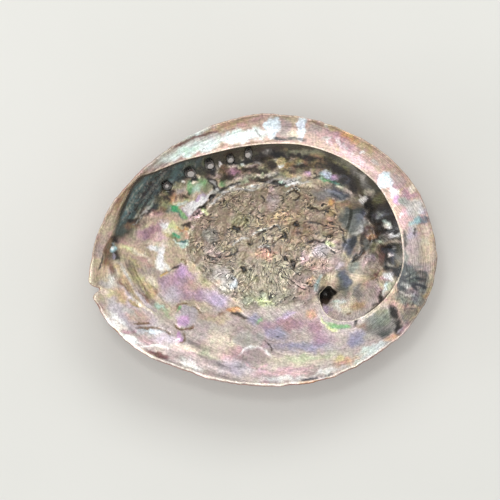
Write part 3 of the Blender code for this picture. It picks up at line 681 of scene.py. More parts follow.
# %% Brush marks on the shelf
# colour, x, y, half length, half width, turn, softness
SHELF_MARKS = [
    ("silver", -455, 550, 247, 49, 24, 27), ("tan", -190, 680, 132, 20, 18, 16),
    ("rose_tan", -15, 715, 49, 27, 0, 16), ("mint_white", -375, 550, 187, 27, 17, 16),
    ("mint_white", -110, 625, 132, 30, 8, 22), ("mint", -410, 540, 66, 14, 15, 16),
    ("brown", -70, 578, 165, 8, 7, 10), ("blue_white", 55, 665, 38, 60, 0, 11),
    ("sand", 145, 690, 44, 38, 0, 16), ("cream", 150, 630, 44, 22, 0, 16),
    ("blue_white", 215, 665, 22, 60, 0, 8), ("brown", 285, 690, 49, 10, -18, 11),
    ("rose_grey", 280, 650, 44, 33, 0, 22), ("rose", 390, 615, 77, 44, -20, 33),
    ("tan", 390, 665, 49, 16, -22, 16), ("orange", 480, 620, 49, 29, -25, 24),
    ("rose", 470, 565, 49, 27, -20, 22), ("pink", 490, 495, 143, 19, -34, 22),
    ("tan", 570, 565, 49, 27, -35, 27), ("rose_tan", 665, 465, 77, 44, -42, 33),
    ("rose_tan", 770, 370, 49, 33, -50, 22), ("blue_white", 675, 375, 49, 47, 0, 14),
    ("blue_white", 670, 380, 23, 23, 0, 14), ("white", 725, 310, 27, 33, -40, 11),
    ("mauve", 735, 345, 27, 18, -50, 16), ("cream", 820, 330, 19, 22, 0, 8),
    ("mauve", 815, 290, 38, 11, 0, 11), ("orchid", 740, 260, 22, 27, 0, 16),
    ("silver", 790, 255, 33, 22, 20, 14), ("rose", 780, 180, 33, 55, 0, 22),
    ("blue_white", 855, 225, 33, 33, 0, 16), ("aqua", 835, 150, 16, 33, -30, 16),
    ("slate", 885, 155, 38, 22, 10, 14), ("rose_grey", 890, 0, 66, 124, 0, 16),
    ("lavender", 815, 75, 22, 33, 0, 16), ("rose_grey", 820, -35, 49, 49, 0, 33),
    ("rose_grey", 885, -80, 44, 33, 0, 27), ("slate", 820, -135, 77, 34, -20, 38),
    ("grey", 890, -200, 38, 49, -30, 27), ("lead", 770, -225, 33, 55, 0, 22),
    ("grey", 830, -275, 90, 55, -10, 27), ("horn", 900, -260, 27, 44, -30, 22),
    ("sand", 900, 22, 38, 121, 0, 27), ("tan", 928, 55, 16, 82, 0, 16),
    ("rose_grey", 824, 16, 38, 66, 0, 33), ("grey_green", 780, -60, 16, 38, 0, 16),
    ("rose_grey", 752, 379, 44, 22, -50, 22), ("mauve", 785, 313, 38, 16, -40, 16),
    ("grey_green", 785, 258, 27, 22, 0, 16), ("lavender", 884, 209, 22, 22, 30, 16),
    ("mint_white", -401, 631, 121, 19, 22, 14), ("rose_grey", 121, 659, 33, 49, 0, 22),
    ("sand", 648, 565, 49, 22, -38, 22), ("horn", 752, 461, 27, 14, -45, 16),
]
# The corner behind the coil, where the shelf ends in a crease
CORNER_MARKS = [
    ("slate", 818, -148, 82, 55, -15, 38), ("blue_black", 780, -121, 44, 22, -15, 22),
    ("grey", 884, -187, 44, 49, -30, 27), ("blue_black", 763, -220, 27, 49, 20, 22),
    ("silver", 796, -203, 27, 22, 0, 16), ("grey", 818, -258, 49, 27, -20, 22),
    ("horn", 928, -231, 22, 49, -20, 22), ("grey", 850, -335, 80, 75, 0, 30),
    ("grey", 620, -415, 90, 50, 15, 30), ("grey", 813, -368, 49, 49, -15, 14),
    ("mauve", 780, -439, 44, 27, 40, 27), ("moss", 659, -362, 44, 49, 30, 33),
    ("red_brown", 587, -406, 27, 19, 0, 22), ("brown", 544, -428, 44, 16, 10, 27),
    ("grey", 675, -439, 49, 27, 10, 27), ("slate", 878, 154, 44, 22, 15, 16),
    ("aqua", 840, 135, 14, 26, -30, 16), ("grey", 780, 55, 16, 49, 0, 22),
    ("silver", 824, 220, 38, 44, 0, 22), ("silver", 862, 242, 27, 33, 0, 16),
    ("lead", 830, -150, 90, 50, -15, 40), ("sand", 922, -137, 16, 77, 0, 16),
    ("rose_grey", 884, -104, 38, 22, 0, 22), ("blue_black", 780, -159, 33, 16, -30, 14),
    ("slate", 889, 159, 30, 19, 8, 14), ("grey_green", 631, -395, 66, 38, 15, 27),
    ("taupe", 813, -351, 44, 44, 20, 14), ("grey", 780, -258, 66, 27, 0, 22),
    ("lead", 670, -461, 49, 22, 20, 22),
]
# The horn-coloured band along the front rim, outside the hollow
BAND_MARKS = [
    ("horn", -750, 275, 143, 38, 50, 27), ("sand", -855, 130, 30, 99, -20, 27),
    ("rose_grey", -910, -55, 27, 99, -10, 27), ("olive", -780, 190, 14, 88, -35, 16),
    ("cream", -840, 240, 10, 132, -33, 11),
]

# %% [markdown]
# Under the lip the wall is dark: teal with fine scratches at the front, olive at the top and
# almost black behind, partly its own colour and partly painted shade. The bowl in front of the
# scar has the strongest colours of all, with white marks as painted highlights, and the sealed
# pores under the lip are dark dimples, darkened with painted shade, with small painted highlights
# as bright crescents.

# %% Brush marks on the wall and in the bowl
# These dark marks are partly the wall's own colour and partly painted shade under the lip
WALL_MARKS = [
    ("deep_teal", -650, 315, 165, 65, 42, 27), ("deep_teal", -720, 235, 66, 38, 50, 22),
    ("deep_teal", -760, 160, 32, 80, -25, 32), ("deep_teal", -400, 455, 121, 33, 22, 22),
    ("deep_teal", -520, 405, 140, 50, 33, 22), ("black", -730, 130, 35, 16, 10, 16),
    ("black", -610, 220, 42, 22, 40, 16), ("dark_olive", -100, 540, 154, 22, 8, 16),
    ("dark_olive", 230, 535, 165, 27, -8, 16), ("dark_olive", 490, 405, 165, 33, -42, 16),
    ("dark_brown", 685, 205, 33, 132, 18, 16),
]
# The white marks in the bowl are painted highlights on the pearl
FRONT_MARKS = [
    ("rose_tan", -719, 5, 77, 49, -10, 44), ("rose_tan", -576, 181, 49, 22, 15, 22),
    ("rose", -598, 99, 77, 30, 18, 22), ("mauve", -637, 93, 55, 25, 18, 22),
    ("rose", -565, 126, 44, 19, 20, 16), ("pink", -549, 66, 44, 16, 10, 16),
    ("dark_brown", -703, 148, 49, 19, 12, 22), ("brown", -725, 121, 44, 16, 10, 22),
    ("black", -725, 154, 22, 12, 30, 14), ("dark_brown", -659, 198, 33, 16, 50, 16),
    ("blue_black", -615, 236, 38, 22, 40, 16), ("red_brown", -598, 209, 27, 11, -20, 14),
    ("brown", -549, 220, 33, 22, 0, 22), ("dark_olive", -571, 275, 27, 27, 0, 22),
    ("olive", -527, 258, 33, 33, 0, 22), ("grey_green", -516, 209, 27, 22, 0, 22),
    ("brown", -489, 313, 38, 27, 20, 22), ("black", -522, 324, 33, 27, 0, 14),
    ("rose_grey", -450, 329, 27, 14, 20, 14), ("black", -406, 316, 14, 11, 0, 8),
    ("dark_brown", -434, 291, 27, 14, -20, 14), ("orange", -489, 269, 16, 27, 10, 14),
    ("cream", -478, 247, 11, 22, 20, 11), ("emerald", -467, 214, 18, 36, 35, 11),
    ("deep_teal", -450, 181, 22, 11, -40, 11), ("yellow_green", -434, 258, 33, 16, 15, 16),
    ("leaf", -390, 346, 27, 33, 0, 16), ("mint", -357, 329, 33, 16, 40, 16),
    ("dark_brown", -357, 406, 27, 16, 20, 14), ("white", -379, 231, 44, 33, 20, 14),
    ("lilac", -401, 203, 27, 16, -20, 14), ("pink", -362, 176, 44, 19, 10, 14),
    ("orchid", -324, 176, 22, 16, 0, 11), ("yellow_green", -321, 203, 14, 16, 0, 8),
    ("white", -329, 269, 33, 22, 30, 14), ("pink", -291, 291, 44, 16, 32, 14),
    ("silver", -242, 318, 44, 12, 30, 11), ("lilac", -335, 296, 22, 14, 30, 11),
    ("moss", -313, 335, 38, 22, 30, 26), ("cream", -533, 115, 27, 25, -10, 14),
    ("white", -527, 137, 22, 14, -20, 11), ("yellow_green", -489, 121, 27, 22, -20, 16),
    ("straw", -505, 77, 33, 19, 0, 16), ("orange", -456, 110, 19, 9, -30, 8),
    ("emerald", -472, 77, 27, 9, 15, 8), ("olive", -478, 60, 33, 7, -10, 8),
    ("teal", -439, 38, 36, 19, -15, 11), ("mint_white", -456, 36, 33, 5, -22, 5),
    ("mint", -434, 19, 38, 7, -8, 7), ("dark_brown", -401, 132, 33, 10, -8, 8),
    ("orange", -417, 115, 22, 8, -8, 8), ("cream", -390, 88, 19, 27, -20, 11),
    ("pink", -368, 115, 14, 16, 0, 11), ("peach", -412, 77, 16, 22, 0, 14),
    ("cream", -576, 33, 55, 14, -15, 16), ("mint_white", -593, 0, 27, 16, -40, 16),
    ("white", -560, -44, 19, 60, -4, 16), ("white", -533, -88, 33, 13, -25, 14),
    ("pale_green", -609, -110, 16, 22, 0, 16), ("straw", -692, -22, 77, 16, -22, 22),
    ("yellow_green", -725, -5, 38, 10, -25, 14), ("sand", -500, -38, 33, 44, 0, 27),
    ("rose_tan", -637, -66, 44, 27, -30, 27), ("rose_grey", -631, -121, 55, 33, 0, 33),
    ("peach", -362, -66, 22, 33, -30, 22), ("olive", -329, -121, 22, 66, 20, 27),
    ("brown", -615, -220, 33, 19, -20, 22), ("black", -813, 44, 25, 25, 30, 14),
    ("brown", -851, 16, 27, 44, -20, 22), ("aqua", -810, 0, 22, 19, 0, 11),
    ("white", -818, 8, 9, 9, 0, 5), ("dark_brown", -807, -38, 14, 25, -10, 11),
    ("lavender", -824, -44, 8, 14, 0, 8), ("black", -796, -55, 11, 7, -10, 7),
    ("brown", -856, -77, 22, 44, -18, 22),
]
TOP_MARKS = [
    ("black", -275, 360, 55, 19, -52, 16), ("rose_grey", -264, 360, 22, 8, -40, 11),
    ("cream", -264, 434, 22, 11, 50, 11), ("brown", -176, 434, 44, 22, 5, 22),
    ("pink", -170, 445, 22, 8, 15, 11), ("dark_olive", -170, 395, 49, 16, 10, 22),
    ("brown", -77, 450, 44, 16, 10, 22), ("yellow_green", -71, 469, 22, 8, 0, 8),
    ("leaf", -214, 371, 16, 22, 0, 22), ("olive", 44, 469, 38, 25, 0, 22),
    ("dark_brown", -5, 434, 49, 16, 0, 16), ("dark_olive", 93, 494, 27, 33, 0, 22),
    ("gold", 148, 461, 22, 14, 20, 16), ("brown", 209, 456, 71, 19, 0, 22),
    ("dark_brown", 137, 423, 66, 14, 4, 16), ("brown", 269, 511, 33, 16, 0, 22),
    ("dark_olive", 318, 486, 44, 22, -10, 22), ("moss", 38, 406, 143, 14, 2, 16),
    ("cream", -145, 376, 55, 14, 32, 16), ("red_brown", -110, 346, 49, 9, 24, 11),
    ("blue_white", -41, 335, 38, 14, 0, 11), ("dark_brown", 5, 379, 66, 11, 2, 11),
    ("mint_white", 176, 379, 44, 16, 8, 11), ("pale_green", 66, 351, 44, 8, 5, 11),
    ("orchid", 255, 425, 22, 16, -20, 14), ("aqua", 346, 409, 33, 22, 0, 16),
    ("lilac", 390, 390, 27, 16, 0, 11), ("mint", 324, 379, 27, 11, -20, 11),
    ("emerald", 351, 368, 27, 9, 5, 11), ("teal", 395, 360, 55, 16, -20, 16),
    ("blue_black", 445, 425, 66, 22, -35, 16), ("slate", 456, 376, 44, 22, -35, 22),
]

# %% Brush marks at the back, round the coil and on the lower bowl
# Its small white marks are painted highlights on the pearl, and the black marks under the lip and in the
# coil's pit are painted shade
BACK_MARKS = [
    ("lead", 500, 165, 77, 88, 0, 27), ("slate", 412, 302, 88, 33, -8, 22),
    ("grey", 324, 296, 49, 22, -5, 22), ("blue_black", 423, 291, 44, 14, -5, 16),
    ("horn", 456, 242, 55, 16, -3, 18), ("orange", 373, 247, 16, 16, 0, 14),
    ("horn", 379, 203, 33, 27, 0, 22), ("black", 604, 176, 25, 60, 5, 16),
    ("black", 565, 236, 38, 16, -40, 16), ("slate", 544, 176, 27, 38, 0, 22),
    ("silver", 522, 104, 55, 14, 48, 14), ("slate", 472, 16, 44, 55, 0, 27),
    ("blue_black", 489, 38, 22, 38, 0, 16), ("red_brown", 576, 99, 38, 22, 20, 16),
    ("dark_brown", 544, 38, 10, 55, 0, 11), ("dark_brown", 642, 71, 16, 44, 8, 14),
    ("olive", 593, 27, 38, 33, 0, 22), ("brown", 554, -11, 33, 22, 0, 16),
    ("taupe", 587, -88, 77, 66, 0, 22), ("rose_grey", 598, -71, 44, 33, 0, 22),
    ("grey_green", 500, -99, 33, 44, 0, 22), ("red_brown", 664, -33, 14, 49, -8, 16),
    ("blue_black", 708, -33, 38, 82, 0, 16), ("slate", 708, -66, 22, 27, 0, 16),
    ("blue_black", 675, 132, 66, 77, 0, 22), ("slate", 659, 99, 27, 27, 0, 22),
    ("white", 678, 132, 25, 22, 0, 11), ("silver", 648, 187, 22, 16, 20, 16),
    ("white", 719, 74, 27, 10, 10, 11), ("silver", 664, 66, 27, 10, -20, 11),
    ("cream", 697, 38, 49, 11, 0, 11), ("black", 697, 214, 16, 88, 28, 16),
    ("moss", 582, 307, 27, 22, -20, 16), ("white", 544, 269, 14, 22, -30, 11),
    ("dark_olive", 620, 258, 38, 33, 0, 22), ("black", 505, 340, 16, 49, 22, 16),
    ("black", 428, 428, 77, 22, -32, 16), ("dark_brown", 258, 505, 110, 22, -8, 22),
    ("white", 697, -148, 27, 22, 0, 14), ("pink", 675, -165, 22, 16, 0, 16),
    ("pale_green", 703, -203, 14, 27, -25, 16), ("rose_grey", 598, -231, 49, 55, 0, 27),
    ("grey", 516, -242, 33, 49, 0, 27), ("lead", 439, -181, 38, 71, 0, 27),
    ("slate", 450, -170, 27, 44, 0, 22), ("cream", 467, -318, 55, 33, 0, 27),
    ("tan", 533, -318, 38, 27, 10, 27), ("black", 351, -242, 44, 33, 20, 14),
    ("dark_brown", 340, -280, 27, 27, 0, 16), ("mint_white", 417, -285, 38, 14, 10, 14),
    ("lilac", 351, -329, 27, 22, -40, 16), ("white", 401, -324, 22, 16, 0, 16),
    ("black", 648, -269, 19, 22, 30, 11), ("white", 736, 5, 8, 8, 0, 5), ("white", 703, -44, 7, 12, 0, 5),
    ("silver", 719, -88, 14, 7, 0, 8), ("red_brown", 626, -137, 27, 8, 40, 8),
    ("dark_olive", 626, 296, 49, 60, -40, 22), ("olive", 637, 275, 27, 33, -40, 22),
    ("grey", 565, 357, 55, 19, -50, 16), ("silver", 538, 390, 27, 11, -45, 14),
    ("cream", 585, 307, 25, 16, -20, 11), ("white", 544, 269, 16, 25, -30, 11),
    ("black", 598, 247, 16, 49, 30, 14), ("lavender", 659, 192, 38, 25, 10, 19),
    ("white", 681, 129, 27, 25, 0, 11), ("silver", 697, 66, 49, 16, 8, 14),
    ("white", 719, 77, 27, 11, 10, 8), ("slate", 697, -33, 33, 60, 0, 16),
    ("white", 703, -38, 10, 16, 0, 5), ("white", 730, 5, 10, 10, 0, 5),
    ("silver", 714, -82, 19, 11, 0, 8), ("blue_black", 730, -121, 16, 27, 0, 11),
    ("moss", 456, 478, 44, 14, -25, 14), ("grey", 500, 434, 38, 14, -38, 14),
    ("dark_olive", 368, 505, 55, 16, -15, 16), ("moss", 291, 527, 44, 11, -8, 11),
    ("cream", -110, 494, 16, 7, -40, 5), ("white", -225, 461, 14, 7, -40, 5),
    ("cream", -329, 428, 14, 7, -40, 5), ("white", -439, 379, 14, 8, -30, 5),
    ("black", -5, 505, 33, 22, 0, 14), ("silver", -27, 478, 16, 7, -30, 7),
    ("black", 104, 511, 33, 19, 0, 14), ("cream", 77, 483, 16, 7, -20, 7),
    ("black", 220, 505, 33, 19, -10, 14), ("silver", 198, 478, 16, 7, -20, 7),
    ("dark_brown", 593, 55, 49, 44, 0, 30), ("dark_brown", 609, 93, 33, 22, -20, 16),
    ("orange", 604, 60, 16, 22, -30, 11), ("dark_olive", 565, 16, 22, 22, 0, 16),
    ("blue_black", 692, -66, 27, 55, 0, 16), ("white", 703, -38, 9, 14, 0, 5),
    ("silver", 714, -88, 16, 9, 0, 8), ("blue_black", 664, 203, 38, 22, 20, 16),
    ("silver", 648, 181, 19, 11, 20, 11),
]
# Painted highlights, and dimples darkened with painted shade, along the row of pores, laid last
GLINTS = [
    ("black", -368, 384, 33, 27, 30, 11), ("cream", -346, 401, 22, 7, -60, 5),
    ("cream", -373, 360, 25, 7, 10, 5), ("dark_olive", -324, 423, 27, 22, 0, 16),
    ("cream", -264, 417, 27, 11, 40, 8), ("black", -285, 428, 27, 11, 0, 8),
    ("black", -275, 354, 55, 22, -42, 11), ("silver", -280, 362, 22, 9, -42, 7),
    ("white", -247, 329, 16, 7, -42, 5), ("leaf", -329, 362, 14, 22, 20, 24),
    ("brown", -214, 428, 38, 27, 0, 16), ("black", -176, 475, 38, 14, 5, 8),
    ("cream", -167, 456, 33, 8, 8, 7), ("mauve", -159, 428, 33, 16, 10, 14),
    ("dark_brown", -203, 395, 33, 14, 15, 11), ("black", -82, 489, 44, 14, 0, 8),
    ("cream", -82, 461, 38, 9, 0, 7), ("white", -110, 469, 14, 7, -35, 5),
    ("dark_brown", -77, 439, 44, 11, 0, 11), ("black", -5, 505, 16, 33, 20, 11),
    ("grey", 27, 533, 27, 16, 0, 11), ("silver", 38, 544, 22, 7, -20, 5),
    ("black", 71, 522, 22, 16, 0, 11), ("moss", 203, 533, 60, 9, -4, 8),
    ("straw", 110, 478, 22, 25, 0, 14), ("white", 104, 461, 14, 8, 0, 5),
    ("dark_brown", 49, 461, 33, 22, 0, 16), ("horn", 198, 489, 38, 14, 0, 14),
    ("dark_brown", 203, 456, 49, 14, 0, 11), ("cream", 11, 414, 77, 10, 3, 7),
    ("straw", 148, 412, 49, 11, -3, 8), ("dark_brown", -5, 395, 77, 8, 2, 7),
    ("pale_green", -99, 384, 44, 10, 18, 8), ("white", -170, 349, 38, 9, 28, 7),
    ("white", 148, 373, 55, 10, -2, 7), ("mint", 115, 362, 27, 7, 0, 5), ("black", 49, 368, 44, 7, 0, 5),
    ("pink", 242, 414, 25, 14, 0, 8), ("dark_brown", 291, 390, 33, 8, -8, 8),
    ("blue_white", 351, 412, 33, 22, -20, 11), ("lilac", 401, 390, 22, 14, -30, 8),
    ("leaf", 346, 373, 33, 8, -8, 7), ("black", 412, 439, 77, 12, -32, 10),
    ("horn", 302, 478, 38, 10, -12, 10), ("white", -351, 253, 49, 25, 35, 11),
    ("white", -390, 220, 33, 25, 0, 11), ("pink", -351, 198, 33, 16, 20, 11),
    ("white", -302, 285, 44, 14, 35, 8), ("silver", -258, 313, 44, 11, 32, 8),
    ("lilac", -368, 275, 22, 11, 40, 8), ("black", -329, 236, 55, 5, 40, 4),
    ("black", -362, 192, 33, 4, 30, 4), ("yellow_green", -318, 203, 16, 16, 0, 8),
    ("emerald", -478, 220, 25, 27, 30, 11), ("leaf", -434, 187, 27, 14, -40, 11),
    ("mint_white", -445, 247, 27, 14, 20, 11), ("dark_brown", -522, 285, 22, 11, 0, 11),
    ("white", -549, 132, 22, 16, -10, 11), ("cream", -511, 99, 33, 14, -20, 11),
    ("white", -565, -66, 19, 49, -4, 11), ("white", -609, 5, 22, 12, -30, 11),
    ("cream", -664, -33, 55, 11, -25, 11), ("straw", -708, -71, 55, 11, -35, 14),
    ("cream", -620, -176, 16, 44, 35, 16), ("black", 670, 126, 44, 44, 0, 16),
    ("white", 673, 126, 22, 22, 0, 11), ("silver", 648, 192, 22, 11, -30, 11),
    ("white", 719, 77, 27, 8, 15, 7), ("cream", 686, 38, 44, 7, 0, 7), ("black", 697, 5, 38, 11, 0, 8),
    ("white", 714, -38, 11, 8, 0, 5), ("silver", 697, -82, 16, 8, 20, 7),
    ("white", 549, 280, 22, 16, -30, 8), ("cream", 582, 307, 22, 11, -20, 8),
    ("brown", 593, 77, 33, 27, -30, 16), ("orange", 598, 66, 16, 16, 0, 11),
    ("white", 697, -148, 27, 16, 20, 11), ("mint_white", 681, -220, 11, 33, -25, 8),
]
# The white marks are painted highlights on the pearl
LOWER_MARKS = [
    ("lilac_grey", -720, -320, 160, 100, -30, 60), ("rose", -200, -550, 200, 60, 0, 60),
    ("violet", -465, -205, 121, 82, -10, 38), ("orchid", -440, -125, 33, 27, -40, 27),
    ("rose", -405, -220, 33, 33, 0, 27), ("violet", -350, -255, 27, 38, 30, 27),
    ("lilac_grey", -505, -255, 55, 44, 0, 53), ("rose_tan", -380, -205, 33, 27, 0, 33),
    ("tan", -610, -230, 27, 44, 0, 22), ("lilac", -255, -270, 77, 44, -15, 38),
    ("pale_green", -535, -345, 55, 13, -45, 16), ("mint", -565, -315, 22, 8, -45, 11),
    ("lilac_grey", -415, -370, 58, 58, 0, 16), ("orchid", -436, -390, 33, 33, 0, 22),
    ("orchid", -455, -485, 24, 24, 0, 11), ("rose_tan", -675, -355, 55, 27, -10, 37),
    ("lilac_grey", -780, -355, 77, 44, -40, 38), ("silver", -830, -155, 27, 66, -20, 33),
    ("sand", -880, -130, 27, 49, 0, 22), ("straw", -860, -240, 44, 22, -25, 22),
    ("tan", -785, -260, 55, 27, -50, 27), ("rose_tan", -280, -380, 65, 26, -5, 32),
    ("brown", -230, -355, 24, 13, 0, 16), ("cream", -225, -505, 91, 60, 0, 52),
    ("silver", -90, -505, 82, 49, -5, 16), ("cream", -125, -430, 44, 11, 0, 14),
    ("leaf", -15, -395, 13, 20, 0, 16), ("lavender", -50, -390, 27, 27, 0, 22),
    ("violet", 35, -435, 50, 33, -20, 27), ("lilac", 125, -375, 44, 22, 25, 27),
    ("peach", 265, -360, 33, 33, 0, 27), ("mauve", 280, -435, 44, 44, 0, 38),
    ("violet", 325, -500, 55, 33, 0, 33), ("lavender", 205, -535, 148, 22, 0, 27),
    ("lavender", 515, -500, 49, 38, 15, 27), ("cream", 205, -610, 207, 33, 4, 37),
    ("pale_green", 260, -595, 127, 16, 6, 27), ("straw", 430, -610, 33, 20, 20, 22),
    ("pale_green", -320, -570, 77, 25, -25, 33), ("rose_grey", -45, -595, 77, 49, -8, 14),
    ("pink", 95, -675, 143, 19, 2, 22), ("lilac_grey", -155, -650, 99, 33, -10, 33),
    ("white", 110, -720, 121, 16, 2, 16), ("mauve", 20, -735, 27, 7, 0, 11),
    ("white", 355, -675, 77, 14, 15, 14), ("mint_white", 580, -570, 121, 22, 33, 16),
    ("peach", 710, -490, 44, 14, 15, 16), ("peach", 480, -615, 66, 12, 22, 22),
    ("white", -840, -400, 60, 16, -38, 16), ("mint_white", -725, -500, 60, 16, -15, 16),
    ("pink", -605, -500, 66, 16, -5, 22), ("blue_white", -615, -450, 66, 14, 2, 16),
    ("red_brown", -580, -575, 77, 18, -14, 11), ("rose_grey", -455, -595, 38, 8, -5, 11),
    ("white", -400, -635, 66, 16, -22, 16), ("rose_grey", -315, -680, 33, 8, -5, 11),
    ("silver", -867, -192, 33, 27, 0, 22), ("cream", -895, -236, 44, 16, -10, 16),
    ("brown", -829, -99, 16, 49, 30, 22), ("brown", -758, -203, 16, 66, 38, 22),
    ("straw", -675, -154, 22, 66, 40, 27), ("white", -741, -143, 11, 55, 38, 16),
    ("rose_tan", -686, -373, 66, 33, -20, 27), ("white", -796, -384, 55, 16, -38, 16),
    ("silver", -730, -340, 55, 11, -35, 14), ("brown", -642, -264, 11, 44, 45, 14),
    ("lilac_grey", -538, -494, 66, 27, -10, 27), ("cream", -373, -549, 88, 22, -10, 27),
    ("sand", -264, -384, 77, 27, 0, 33), ("rose_grey", -126, -439, 77, 27, 0, 33),
    ("mauve", 148, -412, 77, 38, 0, 33), ("lavender", 66, -467, 66, 33, 0, 27),
]

# %% [markdown]
# The scar is dull and brownish, because muscle fibres were rooted in it and not pearl. It turns
# paler and pinker towards the coil and the lower bowl.

# %% Brush marks on the scar
SCAR_MARKS = [
    ("bone", 20, -170, 240, 90, 0, 60), ("rose_grey", 240, -210, 90, 80, 0, 50),
    ("rose_grey", 350, -30, 90, 90, 0, 50), ("rose_grey", 60, 275, 38, 66, 0, 22),
    ("olive", -110, 155, 45, 34, 0, 47), ("horn", 95, 165, 121, 38, 12, 33),
    ("brown", 205, 100, 67, 56, 0, 53), ("grey", -290, 70, 44, 44, 0, 27),
    ("rose_grey", -280, -10, 44, 33, 0, 27), ("peach", 5, -25, 60, 32, 5, 22),
    ("pink", 225, -55, 18, 38, 0, 16), ("lilac_grey", 325, -5, 66, 30, 20, 27),
    ("yellow_green", 370, 25, 25, 14, 0, 16), ("rose_tan", 315, -90, 66, 33, 0, 27),
    ("peach", 270, -170, 20, 20, 0, 16), ("rose_tan", 220, -235, 38, 38, 0, 27),
    ("aqua", 310, -190, 14, 33, -20, 14), ("blue_white", -165, -190, 20, 30, 10, 16),
    ("pale_green", -5, -275, 88, 25, 0, 33), ("yellow_green", 5, -290, 38, 13, -5, 16),
    ("silver", -225, -165, 50, 70, 0, 44), ("brown", 370, 135, 34, 56, 0, 53),
    ("lilac_grey", 435, -100, 33, 33, 0, 22),
]

# %% [markdown]
# Cracks, folds, ledges and the crests round blisters are lines, drawn with a narrow brush. Each
# has a colour, a half width and a height, because such a line is also cut into the surface or
# raised from it. The pits of the scar are the deepest.

# %% Brush lines
# colour, half width, height in millimetres, places
SHELF_LINES = [
    ("red_brown", 0.6, 0, [(-52.0, 55.5), (-45.5, 57.5), (-37.5, 61.0), (-29.0, 63.5), (-21.5, 66.0)]),
    ("blue_black", 0.7, -0.2, [(5.0, 60.6), (11.0, 60.2), (17.5, 60.6), (23.5, 59.4)]),
    ("blue_black", 0.5, 0, [(6.0, 61.5), (9.5, 59.5)]),
    ("grey", 0.4, -0.2, [(-4.5, 65.5), (-0.5, 61.0)]),
    ("dark_brown", 0.5, -0.3, [(83.5, 11.5), (83.5, 7.5)]),
    ("dark_brown", 0.8, 0, [(77.5, 10.5), (78.2, 5.5), (78.6, 0.5)]),
    ("blue_black", 0.7, 0, [(75.0, -17.0), (79.5, -17.0), (82.5, -20.0), (86.0, -23.0)]),
    ("silver", 0.5, 0.2, [(75.0, -23.0), (79.5, -25.5), (84.0, -24.5)]),
    ("sand", 0.5, 0.2, [(77.0, -36.0), (77.5, -32.5), (81.5, -31.5), (86.0, -31.5)]),
    ("sand", 0.4, 0.2, [(86.0, -31.5), (85.0, -36.0), (80.0, -39.5)]),
    ("black", 1.9, -0.9, [(71.0, -29.0), (72.0, -36.5), (75.5, -48.0)]),
    ("lilac_grey", 0.5, 0.2, [(73.5, -46.0), (77.5, -43.0)]),
    ("blue_black", 0.6, -0.1, [(77.0, -16.0), (84.0, -12.5), (90.0, -12.5)]),
    ("blue_black", 0.7, -0.1, [(77.0, -17.5), (84.0, -16.0), (91.0, -17.5)]),
    ("blue_black", 0.6, -0.1, [(78.0, -19.0), (85.0, -19.5), (91.0, -22.0)]),
    ("grey", 0.4, 0.1, [(77.5, -14.5), (83.0, -10.5), (89.0, -9.5)]),
    ("grey", 0.4, 0.1, [(78.0, -16.8), (84.0, -14.2), (90.0, -15.0)]),
]
WALL_LINES = [
    ("blue_black", 0.5, -0.2, [(-71.5, 26.0), (-66.5, 29.5), (-62.0, 34.5), (-57.5, 39.5),
        (-53.5, 43.5)]),
    ("blue_black", 0.5, -0.2, [(-69.0, 23.5), (-63.5, 29.0), (-59.0, 34.5), (-54.5, 40.0)]),
    ("blue_black", 0.5, -0.2, [(-67.5, 21.0), (-62.0, 27.0), (-57.5, 32.5)]),
    ("grey_green", 0.3, 0.1, [(-70.5, 27.5), (-65.5, 31.5), (-61.0, 36.0), (-56.5, 40.5)]),
    ("grey_green", 0.4, 0.1, [(-67.0, 26.0), (-61.5, 32.0), (-56.5, 37.5), (-52.5, 42.5)]),
    ("grey_green", 0.4, 0.1, [(-76.5, 21.0), (-73.0, 24.5), (-69.0, 28.0)]),
    ("black", 0.9, -0.2, [(-48.0, 37.5), (-43.5, 39.0), (-40.0, 40.5)]),
    ("dark_brown", 0.6, 0, [(-32.0, 49.5), (-21.0, 52.0), (-7.0, 54.5), (6.5, 55.5), (20.5, 55.5)]),
    ("horn", 0.4, 0.2, [(11.0, 54.5), (23.0, 53.5), (34.0, 49.5)]),
    ("olive", 0.4, 0.2, [(28.5, 53.5), (39.5, 48.5), (49.0, 41.5)]),
    ("black", 1.4, 0, [(67.0, 27.5), (70.5, 22.0), (73.0, 15.5), (75.0, 6.5)]),
]
